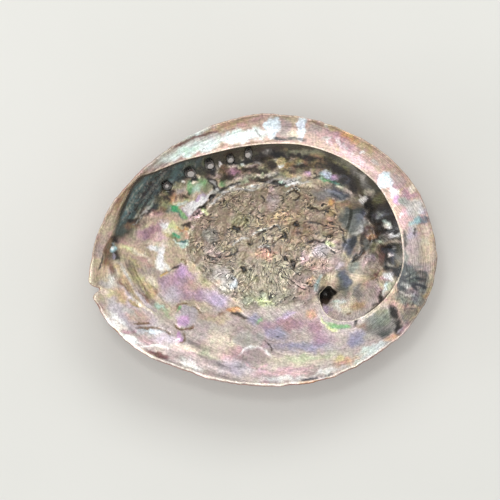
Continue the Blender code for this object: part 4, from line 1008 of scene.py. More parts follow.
BOWL_LINES = [
    ("dark_brown", 0.6, -0.5, [(-55.5, -14.5), (-50.0, -11.0), (-45.0, -9.0)]),
    ("gold", 0.5, 0.2, [(-56.5, -15.5), (-51.0, -12.0)]),
    ("brown", 0.5, -0.3, [(-45.0, -6.5), (-44.0, -5.5), (-42.5, -6.5), (-42.5, -9.0)]),
    ("tan", 1.5, -0.5, [(-82.5, -6.5), (-78.5, -12.0), (-74.5, -19.0), (-70.5, -26.0), (-65.0, -33.0)]),
    ("straw", 0.7, 0.5, [(-73.0, -10.0), (-68.5, -16.5), (-65.0, -23.0), (-62.0, -27.5)]),
    ("horn", 1.0, -0.5, [(-74.0, -27.0), (-71.0, -29.5), (-67.0, -32.5)]),
    ("cream", 0.6, 0.4, [(-74.5, -22.5), (-68.5, -29.0), (-62.0, -34.0), (-56.5, -37.5)]),
    ("blue_black", 0.5, -0.4, [(-88.0, -2.0), (-88.5, -6.5), (-90.0, -12.0)]),
    ("cream", 0.6, 0.5, [(39.5, 35.0), (44.5, 33.5), (48.0, 31.0), (50.0, 28.0)]),
    ("black", 0.7, -0.6, [(48.0, -7.0), (51.5, -5.0), (54.0, -2.5)]),
    ("dark_brown", 0.7, -0.3, [(54.0, 6.5), (54.0, 1.0), (53.5, -3.5)]),
    ("brown", 0.5, -0.3, [(59.0, -16.5), (61.5, -15.5), (64.0, -13.0)]),
    ("black", 0.8, -0.5, [(60.0, -31.5), (64.0, -28.5), (64.0, -25.5), (67.0, -21.0)]),
    # At the coil: the black arc is painted shadow under the hook's edge, the white line a painted highlight
    ("black", 1.3, -0.8, [(32.0, -29.0), (32.0, -24.5), (34.5, -22.0), (38.0, -22.5), (40.5, -25.5)]),
    ("white", 0.6, 0.3, [(38.5, -31.0), (42.5, -29.5), (45.0, -28.5)]),
    ("brown", 0.3, -0.1, [(44.5, -35.0), (49.0, -35.5)]),
    ("leaf", 1.2, 0, [(33.5, -40.0), (38.0, -42.2), (43.5, -43.0), (49.5, -41.8)]),
    ("yellow_green", 0.5, 0.2, [(31.0, -36.0), (34.0, -41.0), (38.5, -44.4), (43.5, -45.0)]),
    ("black", 0.6, -0.4, [(49.5, -43.0), (52.0, -39.5)]),
    ("cream", 0.5, 0.2, [(54.5, -39.5), (60.0, -35.5), (66.5, -30.0), (72.0, -26.0)]),
    ("dark_brown", 0.4, -0.4, [(-1.0, 35.0), (4.0, 34.0), (9.5, 35.0), (15.0, 36.0)]),
    ("black", 0.5, -0.3, [(28.0, 42.5), (30.0, 40.5)]),
    ("dark_brown", 1.1, -0.6, [(-18.0, -34.0), (-15.0, -34.5), (-11.5, -36.0), (-8.0, -38.0)]),
    ("orange", 1.0, 0.2, [(-20.5, -34.5), (-17.5, -33.0), (-13.5, -33.0), (-10.5, -34.5)]),
    ("brown", 0.5, -0.5, [(-48.5, -35.0), (-47.0, -32.0), (-44.5, -30.0), (-40.5, -30.0)]),
    ("leaf", 0.6, 0, [(-47.6, -35.5), (-46.4, -33.0), (-44.5, -31.3)]),
    ("brown", 0.5, -0.5, [(-38.5, -31.0), (-35.5, -33.0), (-34.5, -36.0)]),
    ("brown", 0.6, -0.5, [(-48.5, -41.5), (-45.0, -43.8), (-41.0, -43.6), (-38.5, -42.5),
        (-38.5, -40.5)]),
    ("brown", 0.5, -0.4, [(-43.5, -46.0), (-42.6, -49.0), (-44.5, -51.2), (-47.0, -50.6)]),
    ("white", 0.6, 0.4, [(-13.5, -59.0), (-10.0, -55.0), (-5.0, -53.5), (0.5, -55.5), (5.5, -59.5)]),
    ("pink", 0.5, 0.2, [(-10.5, -62.0), (-6.0, -65.0), (-0.5, -65.0), (4.5, -62.5)]),
    ("dark_brown", 0.4, -0.3, [(0.5, -49.5), (4.0, -52.5), (5.5, -57.5)]),
    ("rose_grey", 0.4, 0.2, [(-18.5, -52.5), (-17.0, -46.5), (-12.5, -44.5), (-8.0, -44.0)]),
    ("lilac", 0.5, 0.2, [(11.0, -39.0), (13.5, -36.0), (18.5, -35.0)]),
    ("brown", 0.5, -0.3, [(-71.5, -41.5), (-66.5, -40.5), (-61.0, -41.0)]),
    ("brown", 0.6, -0.6, [(-71.0, -43.0), (-63.0, -43.3), (-56.5, -43.8), (-52.0, -45.6),
        (-49.5, -47.6)]),
    ("mauve", 0.9, -0.3, [(-78.0, -45.5), (-73.5, -46.0), (-68.5, -45.0)]),
    ("orange", 0.8, 0, [(-82.5, -44.0), (-79.0, -46.5)]),
    ("red_brown", 1.0, -0.3, [(-91.0, -29.5), (-88.0, -33.5)]),
    ("white", 0.5, 0.2, [(-68.5, -54.0), (-59.5, -53.0), (-51.0, -54.5)]),
    ("slate", 0.5, -0.2, [(20.5, -72.0), (30.0, -71.0), (39.5, -68.5)]),
    ("brown", 0.6, -0.2, [(45.0, -66.5), (54.5, -63.5), (62.0, -59.0), (70.5, -52.5)]),
    ("orange", 0.8, 0, [(18.0, -74.0), (30.0, -73.0), (42.5, -70.6)]),
    ("orange", 0.8, 0, [(49.0, -67.8), (60.0, -62.0), (68.5, -55.5), (73.0, -52.0)]),
    ("pink", 0.4, 0.1, [(6.5, -65.5), (20.5, -66.0), (30.0, -65.5)]),
    ("pink", 0.4, 0.1, [(5.0, -68.0), (17.5, -68.5), (28.5, -67.5)]),
    ("black", 0.6, -0.3, [(8.0, -48.0), (8.5, -48.5)]),
]
# The silver lines along the scar's crests are painted highlights
SCAR_LINES = [
    ("black", 0.7, -0.6, [(-38.4, 18.7), (-34.6, 22.5), (-30.7, 24.2), (-26.9, 29.1), (-21.4, 32.9),
        (-14.8, 35.7), (-8.8, 36.8)]),
    ("silver", 0.6, 0.4, [(-31.3, 22.0), (-26.4, 26.4), (-20.3, 31.3), (-12.6, 32.9), (-6.0, 32.4),
        (-0.5, 34.0)]),
    ("black", 0.5, -0.4, [(-9.3, 38.4), (-3.8, 37.3), (2.7, 36.8), (9.3, 35.7), (16.5, 37.3),
        (23.6, 35.7)]),
    ("silver", 0.5, 0.3, [(-0.5, 35.1), (6.0, 37.9), (12.6, 39.0), (19.2, 36.8), (26.9, 36.8)]),
    ("dark_brown", 0.6, -0.5, [(-1.1, -0.5), (1.6, 0.5), (4.4, -1.1), (3.8, -3.3)]),
    ("silver", 0.45, 0.3, [(-2.7, 0.0), (0.5, 1.6), (3.8, 1.1)]),
    ("silver", 0.5, 0.3, [(-17.0, 1.6), (-13.2, 4.9), (-8.8, 6.0), (-6.6, 4.9)]),
    ("silver", 0.45, 0.3, [(-7.1, 6.6), (-3.8, 8.8), (1.1, 11.0), (7.1, 12.6), (9.9, 11.0)]),
    ("dark_brown", 0.5, -0.4, [(-4.4, 6.6), (-0.5, 8.8), (4.9, 11.5), (8.8, 12.1)]),
    ("dark_brown", 0.4, -0.4, [(8.2, 2.7), (4.9, 1.6), (9.3, 5.5), (11.0, 8.2)]),
    ("black", 0.4, -0.4, [(-21.4, -4.4), (-17.6, -3.3), (-13.7, -1.1), (-14.8, 1.6)]),
    ("black", 0.4, -0.4, [(-31.3, -2.2), (-28.0, -4.9), (-23.6, -6.6)]),
    ("dark_brown", 0.5, -0.4, [(13.2, 29.6), (17.0, 31.8), (20.3, 29.6), (18.7, 26.9), (15.4, 27.5)]),
    ("silver", 0.45, 0.3, [(12.6, 30.7), (16.5, 33.5), (20.9, 31.8)]),
    ("black", 0.4, -0.4, [(-0.5, 24.2), (0.5, 27.5), (-1.1, 30.2)]),
    ("black", 0.4, -0.4, [(9.9, 24.2), (11.5, 26.9), (9.9, 29.1)]),
    ("dark_brown", 0.5, -0.4, [(21.4, 23.1), (26.9, 22.5), (32.4, 20.9), (36.8, 22.0)]),
    ("dark_brown", 0.5, -0.4, [(22.0, 14.3), (28.0, 14.8), (34.0, 13.2), (37.3, 14.3)]),
    ("dark_brown", 0.5, -0.4, [(18.1, 8.8), (22.0, 8.2)]),
    ("dark_brown", 0.5, -0.4, [(23.1, 2.7), (27.5, 4.4), (32.4, 3.8), (36.2, 5.5)]),
    ("black", 0.5, -0.5, [(48.9, -6.6), (50.5, -3.8), (53.8, -2.2), (56.0, 0.5)]),
    ("black", 0.5, -0.5, [(41.2, 13.2), (43.9, 9.3), (45.0, 4.4), (47.8, 1.6)]),
]
# Deep pits in the scar: x, y, half length, half width and turn
PITS = [
    (-14.3, 11.0, 1.3, 0.8, -35), (19.5, 14.5, 0.9, 1.3, 20), (11.5, 7.1, 0.7, 1.4, 25),
    (12.6, -5.8, 1.3, 1.0, 0), (-10.4, -10.2, 1.5, 1.3, 20), (-27.5, 28.0, 1.1, 0.9, 0),
    (-31.8, 22.5, 0.9, 0.6, 30), (-6.6, 3.3, 0.9, 0.5, -20), (16.5, -8.2, 0.5, 1.3, 15),
    (-8.2, 15.4, 0.4, 1.0, 0), (-25.3, 3.6, 0.8, 0.7, 0), (35.7, 7.4, 1.0, 0.5, 20),
    (-15.9, 28.8, 0.9, 0.4, -15), (14.3, 22.0, 0.4, 0.9, 0), (-25.3, -3.6, 1.0, 0.4, 20),
]

# %% [markdown]
# The teal wall at the front is covered with fine scratches that all run one way. A seeded draw
# places them round the middle of the wall, each a short line with a slight bend.

# %% Scratches on the teal wall
SCRATCHES = 46
SCRATCH_COLOURS = ("black", "grey_green", "blue_black", "grey")
SCRATCH_HALF_WIDTH = 0.24
SCRATCH_HEIGHT = 0.05   # by turns below and above the wall
TEAL_MIDDLE = np.array([-62.0, 31.0])
TEAL_ALONG = np.array([0.68, 0.73])
TEAL_ACROSS = np.array([0.73, -0.68])
scratch_draw = np.random.default_rng(29)
for number in range(SCRATCHES):
    along, across = scratch_draw.uniform(-22, 20), scratch_draw.uniform(-5.5, 5.5)
    length, slope = scratch_draw.uniform(5, 15), math.radians(scratch_draw.uniform(42, 54))
    start = TEAL_MIDDLE + along * TEAL_ALONG + across * TEAL_ACROSS
    end = start + length * np.array([math.cos(slope), math.sin(slope)])
    middle = (start + end) / 2 + scratch_draw.normal(0, 0.5, 2)
    WALL_LINES.append((SCRATCH_COLOURS[number % 4], SCRATCH_HALF_WIDTH,
                       SCRATCH_HEIGHT * (-1) ** (number + 1),
                       [tuple(start), tuple(middle), tuple(end)]))
print("the teal wall has", SCRATCHES, "scratches")

# %% [markdown]
# Painting is a walk through the lists. A mark's edge is bent by noise, so that no bloom looks like
# an ellipse, and a mark on the shelf stops at the lip, because there the ground falls away under
# the brush. Some zones are livelier or streakier than the rest, some are painted darker, under the
# lip as painted shade, and each is a brush mark too: x, y, half length, half width, turn and softness.

# %% How the brush behaves, and where the pearl differs
MARK_STRENGTH = 0.95
CONTRAST = 1.1          # deepens every colour but white
SOFTNESS = 0.65         # how soft the brush is, against what the marks name
WANDER = 1.8            # how far noise bends a mark's edge
LINE_SCALE = 0.8
PIT_DEPTH = 1.2
PIT_SIZE = 1.3
PORE_RING = 1.0         # half the width of the dark ring round a pore
FIBRES_FROM = (1.0, 8.0)  # the middle of the scar, from which torn fibres run outward
FIBRES = [(4.0, -18.0, 26.0, 8.0, 0, 4.0), (38.0, 10.0, 7.0, 14.0, 0, 4.0)]
GROUNDS = {"bowl": "sand", "lower": "lilac_grey", "wall": "dark_olive", "shelf": "rose_tan"}
SLATE_MARKS = 6         # the first marks at the back are smooth slate, without wrinkles
FLECK_STRENGTH = 0.7
SCAR_STRENGTH = 0.8
PIT_SOFTNESS = 0.6
LIVELY_RELIEF = 0.5     # millimetres that the crumpled pearl rises and dips
# Where the pearl is crumpled and flashes with every colour
LIVELY = [
    (-55.0, 27.0, 18.0, 5.0, 42, 5.0), (-5.0, 45.0, 42.0, 7.0, 4, 4.0), (36.0, 40.0, 16.0, 5.0, -35, 4.0),
]
SHELF_LIVELY = [(78.0, 24.0, 9.0, 20.0, 30, 7.0), (45.0, 58.0, 30.0, 7.0, -30, 5.0)]
BACK_LIVELY = [
    (62.0, 8.0, 10.0, 22.0, 0, 5.0), (66.0, -12.0, 6.0, 14.0, 0, 5.0),
    (80.0, -22.0, 9.0, 12.0, 0, 5.0),
]
# Flecks that noise scatters there: colour, size in millimetres and how rare they are. The silver
# and white flecks are painted highlights, and the black ones painted shade in the crumples
FLECKS = [
    ("dark_brown", 5.4, 0.4), ("olive", 6.0, 0.4), ("black", 3.6, 0.5), ("silver", 2.6, 0.62),
]
SHELF_FLECKS = [("rose", 5.0, 0.4), ("silver", 4.0, 0.5), ("tan", 4.0, 0.5), ("white", 3.0, 0.6)]
BACK_FLECKS = [
    ("blue_black", 4.6, 0.34), ("brown", 4.4, 0.5), ("silver", 3.6, 0.6),
    ("black", 2.6, 0.5),
]
# Painted shade under the lip and round the back of the hollow; the last value is the share of light lost
PAINTED_SHADE = [
    (62.0, 13.0, 16.0, 22.0, 0, 8.0, 0.42), (70.0, -4.0, 4.0, 10.0, 0, 3.0, 0.2),
    (0.0, 46.0, 50.0, 7.0, 2, 6.0, 0.18), (48.0, 34.0, 22.0, 8.0, -40, 7.0, 0.2),
]
# Where the shelf and the lower bowl are painted darker, in the same form; the first, where the shelf
# turns away at the right, is painted shade
DARKENED_ZONES = [
    (87.0, -10.0, 10.0, 28.0, 0, 8.0, 0.23), (62.0, -46.0, 14.0, 6.0, 30, 5.0, 0.12),
    (-48.0, -46.5, 14.0, 8.0, 0, 6.0, 0.07), (12.5, 66.0, 6.0, 8.0, 0, 4.0, 0.1),
]
# Where fine growth lines show most: the front wall and the fan of streaks behind the notch
STREAKY = [
    (-64.0, 30.0, 22.0, 8.0, 47, 3.0), (-72.0, -18.0, 18.0, 9.0, -45, 6.0),
    (-50.0, -55.0, 40.0, 9.0, -14, 8.0), (84.0, -16.0, 11.0, 9.0, 0, 5.0),
]

# %% The brushes
def seen_from_above(places):
    """Where on the rim plane the eye above the shell sees each place of it."""
    closer = VIEW_AWAY / (VIEW_AWAY - places[:, 2])
    return VIEW_CENTRE + (places[:, :2] - VIEW_CENTRE) * closer[:, None]


def shade(name):
    return linear(PALETTE[name])


def lay(colour, weight):
    """Mixes a colour into the tint by weight, point by point."""
    global tint
    tint += (shade(colour) - tint) * weight[:, None]


def mark_weight(x, y, half_length, half_width, turn, soft):
    """1 in the middle of a brush mark and 0 outside it."""
    c, s = math.cos(math.radians(turn)), math.sin(math.radians(turn))
    across, up = bent[:, 0] - x, bent[:, 1] - y
    u, v = (across * c + up * s) / half_length, (up * c - across * s) / half_width
    beyond = (np.hypot(u, v) - 1) * min(half_length, half_width)
    return ease(0.5 - beyond / (2 * soft * SOFTNESS))


def line_weight(places, half_width):
    """1 along a line's middle; the brush presses unevenly and lifts off at both ends."""
    low, high = np.min(places, axis=0) - 4, np.max(places, axis=0) + 4
    near = np.flatnonzero(((lined > low) & (lined < high)).all(1))
    weight = np.zeros(len(plan))
    if len(near):
        route = smooth_curve(places, 0.35)
        gaps = np.linalg.norm(lined[near][:, None] - route[None], axis=2)
        share = gaps.argmin(1) / (len(route) - 1)
        lift = ease(4 * np.minimum(share, 1 - share) + 0.25)
        brush = half_width * LINE_SCALE * (0.5 + 0.5 * lift) * (1 + 0.45 * pressure[near])
        pressed = np.clip(lift + 0.5 * pressure[near], 0, 1)
        weight[near] = ease(1.5 - gaps.min(1) / brush * 0.75) * pressed
    return weight


def forms(marks):
    """The marks' places and sizes in millimetres, without their colours."""
    return [(x / 10, y / 10, half_length / 10, half_width / 10, turn, soft / 10)
            for colour, x, y, half_length, half_width, turn, soft in marks]


def paint(marks, where):
    for (colour, *_), form in zip(marks, forms(marks)):
        lay(colour, mark_weight(*form) * where * MARK_STRENGTH)


def draw(lines, where):
    global relief
    for colour, half_width, height, places in lines:
        weight = line_weight(places, half_width) * where
        lay(colour, weight * MARK_STRENGTH)
        relief += weight * height * LINE_SCALE


def strongest(marks):
    return np.max([mark_weight(*form) for form in marks], axis=0)

# %% [markdown]
# Before any paint, each point of the skin is told where it is: on the shelf, in the scar, how
# far from the rim and how old. The noises that bend the marks and press the brush come next.

# %% Where each point lies
pearl = in_hole.copy()  # 1 on the pearl side and in the holes, 0 on the rim's edge and the crust
pearl[:len(pearl_points)] = 1
eye = seen_from_above(level)
away, place, left, rows = LIP_TRACK.nearest(plan)
rim_gap, scar_depth, age = from_rim(plan), in_scar(plan), growth_age(plan)
on_shelf = ease((away + 0.1) / 0.4) * ease((rows[:, 5] - 0.7) / 0.2)
off_shelf = 1 - on_shelf
on_scar = ease((scar_depth + 1.5 + 3.0 * cloud(eye, 6.0, 15)) / 3.5)
bent = eye + WANDER * np.column_stack([cloud(eye, 4.5, 21), cloud(eye, 4.5, 31)])
bent += 0.4 * WANDER * np.column_stack([cloud(eye, 1.6, 24), cloud(eye, 1.6, 34)])
lined = eye + 0.6 * np.column_stack([cloud(eye, 2.2, 41), cloud(eye, 2.2, 51)])
pressure = cloud(eye, 3.0, 55)
lively = strongest(LIVELY + BACK_LIVELY) * (1 - 0.9 * on_scar)
streaky = strongest(STREAKY) * (1 - on_scar)
smooth_back = strongest(forms(BACK_MARKS[:SLATE_MARKS]))
glint = strongest(forms([mark for mark in BACK_MARKS + GLINTS if mark[0] == "white"]))

# %% [markdown]
# The ground colours go on first, then the marks, flecks and lines in the order in which they
# lie over each other, and the edges last. At the end small drifts in hue and light break up
# every colour, as pearl does.

# %% Paint the skin
everywhere = np.ones(len(plan))
relief = np.zeros(len(plan))
tint = np.tile(shade(GROUNDS["bowl"]), (len(plan), 1))
lay(GROUNDS["lower"], ease((-24 - eye[:, 1] + 0.12 * eye[:, 0]) / 14) * 0.6)
# The dark ground under the lip is partly the wall's own colour and partly painted shade
lay(GROUNDS["wall"], ease((13 + away) / 8) * ease(-away) * ease((rows[:, 5] - 0.6) / 0.3)
    * ease((eye[:, 1] + 20) / 20))
lay(GROUNDS["shelf"], on_shelf)
paint(SHELF_MARKS + BAND_MARKS, on_shelf)
paint(CORNER_MARKS, everywhere)
paint(WALL_MARKS + FRONT_MARKS + TOP_MARKS + LOWER_MARKS, off_shelf)
# Flecks in the lively zones: colours, painted highlights and painted shade
for zone, flecks, where, seed in (
        (LIVELY, FLECKS, off_shelf, 200), (SHELF_LIVELY, SHELF_FLECKS, on_shelf, 300),
        (BACK_LIVELY, BACK_FLECKS, everywhere, 400)):
    zone = strongest(zone) * where * (1 - on_scar)
    for number, (colour, size, rare) in enumerate(flecks):
        fleck = ease((cloud(bent, size, seed + 10 * number, 2) - rare) / 0.3)
        lay(colour, fleck * zone * FLECK_STRENGTH)
lay("taupe", on_scar)
lay("horn", on_scar * ease((eye[:, 1] + 16) / 18) * 0.35)
paint(SCAR_MARKS, on_scar * SCAR_STRENGTH)
paint(BACK_MARKS + GLINTS, off_shelf)
draw(SHELF_LINES, everywhere)
draw(WALL_LINES + BOWL_LINES, off_shelf)
draw(SCAR_LINES, everywhere)
for x, y, half_length, half_width, turn in PITS:
    weight = mark_weight(x, y, PIT_SIZE * half_length, PIT_SIZE * half_width, turn, PIT_SOFTNESS)
    lay("black", weight)
    relief -= PIT_DEPTH * weight
# The lip's own edge: painted shadow under it, a bronze line on it and a pale one behind it
lip_line = ease(rows[:, 5] / 0.5) * ease((place - 25) / 20)
lay("dark_brown", lip_line * ease(1.6 - np.abs(away + 1.1) / 0.55) * 0.8)
lay("horn", lip_line * ease(1.6 - np.abs(away + 0.05) / 0.4) * 0.8)
lay("cream", lip_line * ease(1.6 - np.abs(away - 0.75) / 0.35) * 0.5)
# The coil's crest
crest = (rows[:, 2] < -8) * ease(1.6 - np.abs(away - 0.2) / 0.5)
lay("cream", crest * 0.85)
# The rim's edge, with a fine dark line inside it on the shelf side
lay("brown", ease(1.6 - np.abs(rim_gap - 1.1) / 0.45) * on_shelf * ease(pressure + 0.6) * 0.5)
lay("cream", ease(1.5 - rim_gap / 0.6) * pearl * (0.45 - 0.3 * on_shelf))
lay("brown", ease(1.5 - rim_gap / 0.4) * pearl * on_shelf * 0.6)
# Painted shade in the pores: a dark ring round each, and dark walls inside them
for x, y, radius in HOLES_OUTSIDE:
    gap = np.hypot(lined[:, 0] - x, lined[:, 1] - y) - radius
    lay("black", ease(1.5 - gap / PORE_RING) * off_shelf * 0.9)
lay("black", in_hole * 0.9)
# Small drifts of light and hue
busy = 0.5 + lively
tint *= np.exp(0.13 * busy * cloud(eye, 3.4, 61) + 0.20 * busy * cloud(eye, 1.5, 71))[:, None]
drifts = np.column_stack([cloud(eye, 4.0, seed) for seed in (81, 91, 101)])
tint *= np.exp(0.10 * busy[:, None] * drifts)
# Painted shade under the lip, kept off the painted highlights
for *form, lost in PAINTED_SHADE:
    tint *= 1 - lost * (mark_weight(*form) * off_shelf * (1 - glint))[:, None]
for *form, lost in DARKENED_ZONES:
    tint *= 1 - lost * mark_weight(*form)[:, None]
tint = np.clip(tint, 0.003, 0.95) ** CONTRAST
relief += LIVELY_RELIEF * lively * off_shelf * cloud(eye, 3.2, 111, 2)
print("painted", sum(map(len, (SHELF_MARKS, CORNER_MARKS, BAND_MARKS, WALL_MARKS, FRONT_MARKS,
      TOP_MARKS, BACK_MARKS, GLINTS, LOWER_MARKS, SCAR_MARKS))), "marks")

# %% [markdown]
# The paint and the places of growth are written on the mesh as named attributes, which both
# Geometry Nodes and the materials can read. Nothing depends on a picture or on a UV map.

# %% The skin as a mesh
mesh = bpy.data.meshes.new("shell_skin")
mesh.from_pydata((points * MM).tolist(), [], faces)
mesh.validate()
mesh.shade_smooth()
turned = np.arctan2(plan[:, 1] - APEX[1], plan[:, 0] - APEX[0]) + age
fibre_turn = np.arctan2(eye[:, 1] - FIBRES_FROM[1], eye[:, 0] - FIBRES_FROM[0])
fibre_length = np.hypot(eye[:, 1] - FIBRES_FROM[1], eye[:, 0] - FIBRES_FROM[0])
high_up = ease((points[:, 2] - 7) / 5) * ease((rim_gap - 5) / 5) * (1 - pearl)
for name, values in {
    "relief": relief, "scar": on_scar * (1 - smooth_back) * pearl, "pearl": pearl, "age": age,
    "turned_x": np.cos(turned), "turned_y": np.sin(turned), "lime": high_up,
    "lively": lively, "streaky": streaky, "fibres": strongest(FIBRES),
    "fibre_turn": fibre_turn, "fibre_length": fibre_length,
}.items():
    layer = mesh.attributes.new(name, "FLOAT", "POINT")
    layer.data.foreach_set("value", values.astype(np.float32))
layer = mesh.attributes.new("tint", "FLOAT_COLOR", "POINT")
opaque = np.column_stack([tint, everywhere]).astype(np.float32)
layer.data.foreach_set("color", opaque.ravel())
shell = bpy.data.objects.new("shell_skin", mesh)
bpy.context.scene.collection.objects.link(shell)
print("the skin has", len(mesh.vertices), "points and", len(mesh.polygons), "faces")

# %% [markdown]
# Every material and every Geometry Nodes tree here is a net of nodes. One small helper adds a
# node, gives it its settings, and either sets each input or links it. It hands back the node's
# outputs, so that one node can be fed straight into the next.

# %% One helper for all nodes
def add_node(tree, kind, inputs=(), **settings):
    """A new node's outputs. An input that is given a socket is linked, and any other is set.

    The inputs are a list, or a dictionary when only some are given."""
    node = tree.nodes.new(kind)
    for name, value in settings.items():
        setattr(node, name, value)
    for name, value in inputs.items() if isinstance(inputs, dict) else enumerate(inputs):
        if isinstance(value, bpy.types.NodeSocket):
            tree.links.new(value, node.inputs[name])
        else:
            node.inputs[name].default_value = value
    return node.outputs


def new_material(name):
    material = bpy.data.materials.new(name)
    material.use_nodes = True
    return material, material.node_tree, material.node_tree.nodes["Principled BSDF"]

# %% [markdown]
# Two patterns are used more than once, so each is a small function. One follows the shell's
# growth. The other makes the wrinkles of the scar, where torn muscle leaves curly, parallel
# ridges: a stretched noise is cut into levels, like the contour lines of a map. In the lower and
# right parts of the scar the same noise is laid round its middle, so the ridges run outward.

# %% Patterns that follow the shell
WRINKLE_SIZE = (0.0060, 0.0037)  # metres of the noise that makes the scar's wrinkles
WRINKLE_SLANT = math.radians(25)
FIBRES_AROUND = 8.0     # of that noise, in one radian round the scar
FIBRE_LENGTH = 7.5      # millimetres
WRINKLE_LEVELS = 4.5
WRINKLE_NOISE = {"Scale": 1.0, "Detail": 2.0, "Roughness": 0.5, "Distortion": 0.9}


def growth_space(tree, read, across, along):
    """Coordinates that follow the growth: across the growth lines fast, and along them slowly."""
    parts = []
    for name, factor in (("turned_x", along), ("turned_y", along), ("age", across)):
        parts.append(add_node(tree, "ShaderNodeMath", [read[name], factor], operation="MULTIPLY")[0])
    return add_node(tree, "ShaderNodeCombineXYZ", parts)[0]


def wrinkles(tree, read, place):
    """The scar's ledges. The value climbs from 0 to 1 and drops at each ledge."""
    slanted = add_node(tree, "ShaderNodeVectorRotate", {
        "Vector": place, "Angle": -WRINKLE_SLANT}, rotation_type="Z_AXIS")[0]
    slanted = add_node(tree, "ShaderNodeVectorMath", [
        slanted, (*WRINKLE_SIZE, 1)], operation="DIVIDE")[0]
    around = add_node(tree, "ShaderNodeMath", [
        read["fibre_turn"], FIBRES_AROUND], operation="MULTIPLY")[0]
    outward = add_node(tree, "ShaderNodeMath", [
        read["fibre_length"], FIBRE_LENGTH], operation="DIVIDE")[0]
    fibre = add_node(tree, "ShaderNodeCombineXYZ", [around, outward])[0]
    curly, straight = (add_node(tree, "ShaderNodeTexNoise", {"Vector": where, **WRINKLE_NOISE})[0]
                       for where in (slanted, fibre))
    field = add_node(tree, "ShaderNodeMix", {
        0: read["fibres"], 2: curly, 3: straight}, data_type="FLOAT")[0]
    levels = add_node(tree, "ShaderNodeMath", [field, WRINKLE_LEVELS], operation="MULTIPLY")[0]
    return add_node(tree, "ShaderNodeMath", [levels], operation="FRACT")[0]

# %% [markdown]
# Nacre is aragonite, the same lime as a pearl, laid down in plates thinner than the wavelengths
# of light. It has an IOR of about 1.6 and a deep, satin gloss, so it gets a low roughness with a
# clear coat and a touch of metal, which tints its reflections with the colour below. Its hue
# drifts over a few millimetres.

# %% Nacre: its colour
DRIFT_SIZE = 0.0032     # metres over which the hue drifts
HUE_DRIFT = (0.47, 0.53)
SATURATION = 0.93
GRAIN_SIZE = 0.0012     # metres between the fine ripples of the surface
LINES_PER_RADIAN = 26.0  # growth lines in one radian of growth, coarse enough to show
STREAK_LENGTH = 5.0     # the same, along the growth lines

nacre, tree, surface = new_material("nacre")
place_on = add_node(tree, "ShaderNodeTexCoord")["Object"]
read = {}
for name in ("lively", "streaky", "scar", "age", "turned_x", "turned_y", "fibres", "fibre_turn",
             "fibre_length"):
    read[name] = add_node(tree, "ShaderNodeAttribute", attribute_name=name)["Fac"]
tint_here = add_node(tree, "ShaderNodeAttribute", attribute_name="tint")["Color"]
drift = add_node(tree, "ShaderNodeTexNoise", {
    "Vector": place_on, "Scale": 1 / DRIFT_SIZE, "Detail": 2.0, "Roughness": 0.55})["Fac"]
hue = add_node(tree, "ShaderNodeMapRange", [drift, 0.3, 0.7, *HUE_DRIFT])[0]
base = add_node(tree, "ShaderNodeHueSaturation", {
    "Hue": hue, "Saturation": SATURATION, "Value": 1.0, "Color": tint_here})[0]
streaks = add_node(tree, "ShaderNodeTexNoise", {
    "Vector": growth_space(tree, read, LINES_PER_RADIAN, STREAK_LENGTH), "Scale": 1.0,
    "Detail": 4.0, "Roughness": 0.6})["Fac"]
speckle = add_node(tree, "ShaderNodeTexNoise", {
    "Vector": place_on, "Scale": 1 / GRAIN_SIZE, "Detail": 3.0, "Roughness": 0.6})["Fac"]

# %% [markdown]
# Fine growth lines and an even finer speckle make the pearl lighter and darker by turns. How
# deep they go is painted on the skin: the front wall is streaky, and the crumpled pearl under
# the lip is lively.

# %% Nacre: its growth lines and speckle
light = 1.0
# noise, its low and high, the attribute that deepens it, and its depth without and with that
for field, low, high, where, plain, strong in (
        (streaks, 0.35, 0.65, "streaky", 0.2, 0.6), (speckle, 0.33, 0.67, "lively", 0.3, 0.5)):
    swing = add_node(tree, "ShaderNodeMapRange", [field, low, high, -1.0, 1.0])[0]
    depth = add_node(tree, "ShaderNodeMix", {
        0: read[where], 2: plain, 3: strong}, data_type="FLOAT")[0]
    swing = add_node(tree, "ShaderNodeMath", [swing, depth, 1.0], operation="MULTIPLY_ADD")[0]
    light = add_node(tree, "ShaderNodeMath", [light, swing], operation="MULTIPLY")[0]

# %% [markdown]
# In the scar each ledge has painted shade in the groove at its foot and a painted highlight on its
# crest. The grooves are broken here and there, and smooth patches lie between the wrinkled ones.

# %% Nacre: the wrinkles of the scar
SMOOTH_SIZE = 0.011     # metres between smooth patches of the scar
BREAK_SIZE = 0.0026     # metres between breaks in a groove
GROOVE_LIGHT = 0.05     # what is left of the light in a groove
CREST_LIGHT = 0.9       # what a crest adds to it

ledge = wrinkles(tree, read, place_on)
smooth, broken = (add_node(tree, "ShaderNodeTexNoise", {
    "Vector": place_on, "Scale": 1 / size, "Detail": detail, "Roughness": 0.55})["Fac"]
                  for size, detail in ((SMOOTH_SIZE, 2.0), (BREAK_SIZE, 1.0)))
smooth = add_node(tree, "ShaderNodeMapRange", [smooth, 0.42, 0.5, 0.1, 1.0])[0]
broken = add_node(tree, "ShaderNodeMapRange", [broken, 0.36, 0.5, 0.3, 1.0])[0]
folded = add_node(tree, "ShaderNodeMath", [read["scar"], smooth], operation="MULTIPLY")[0]
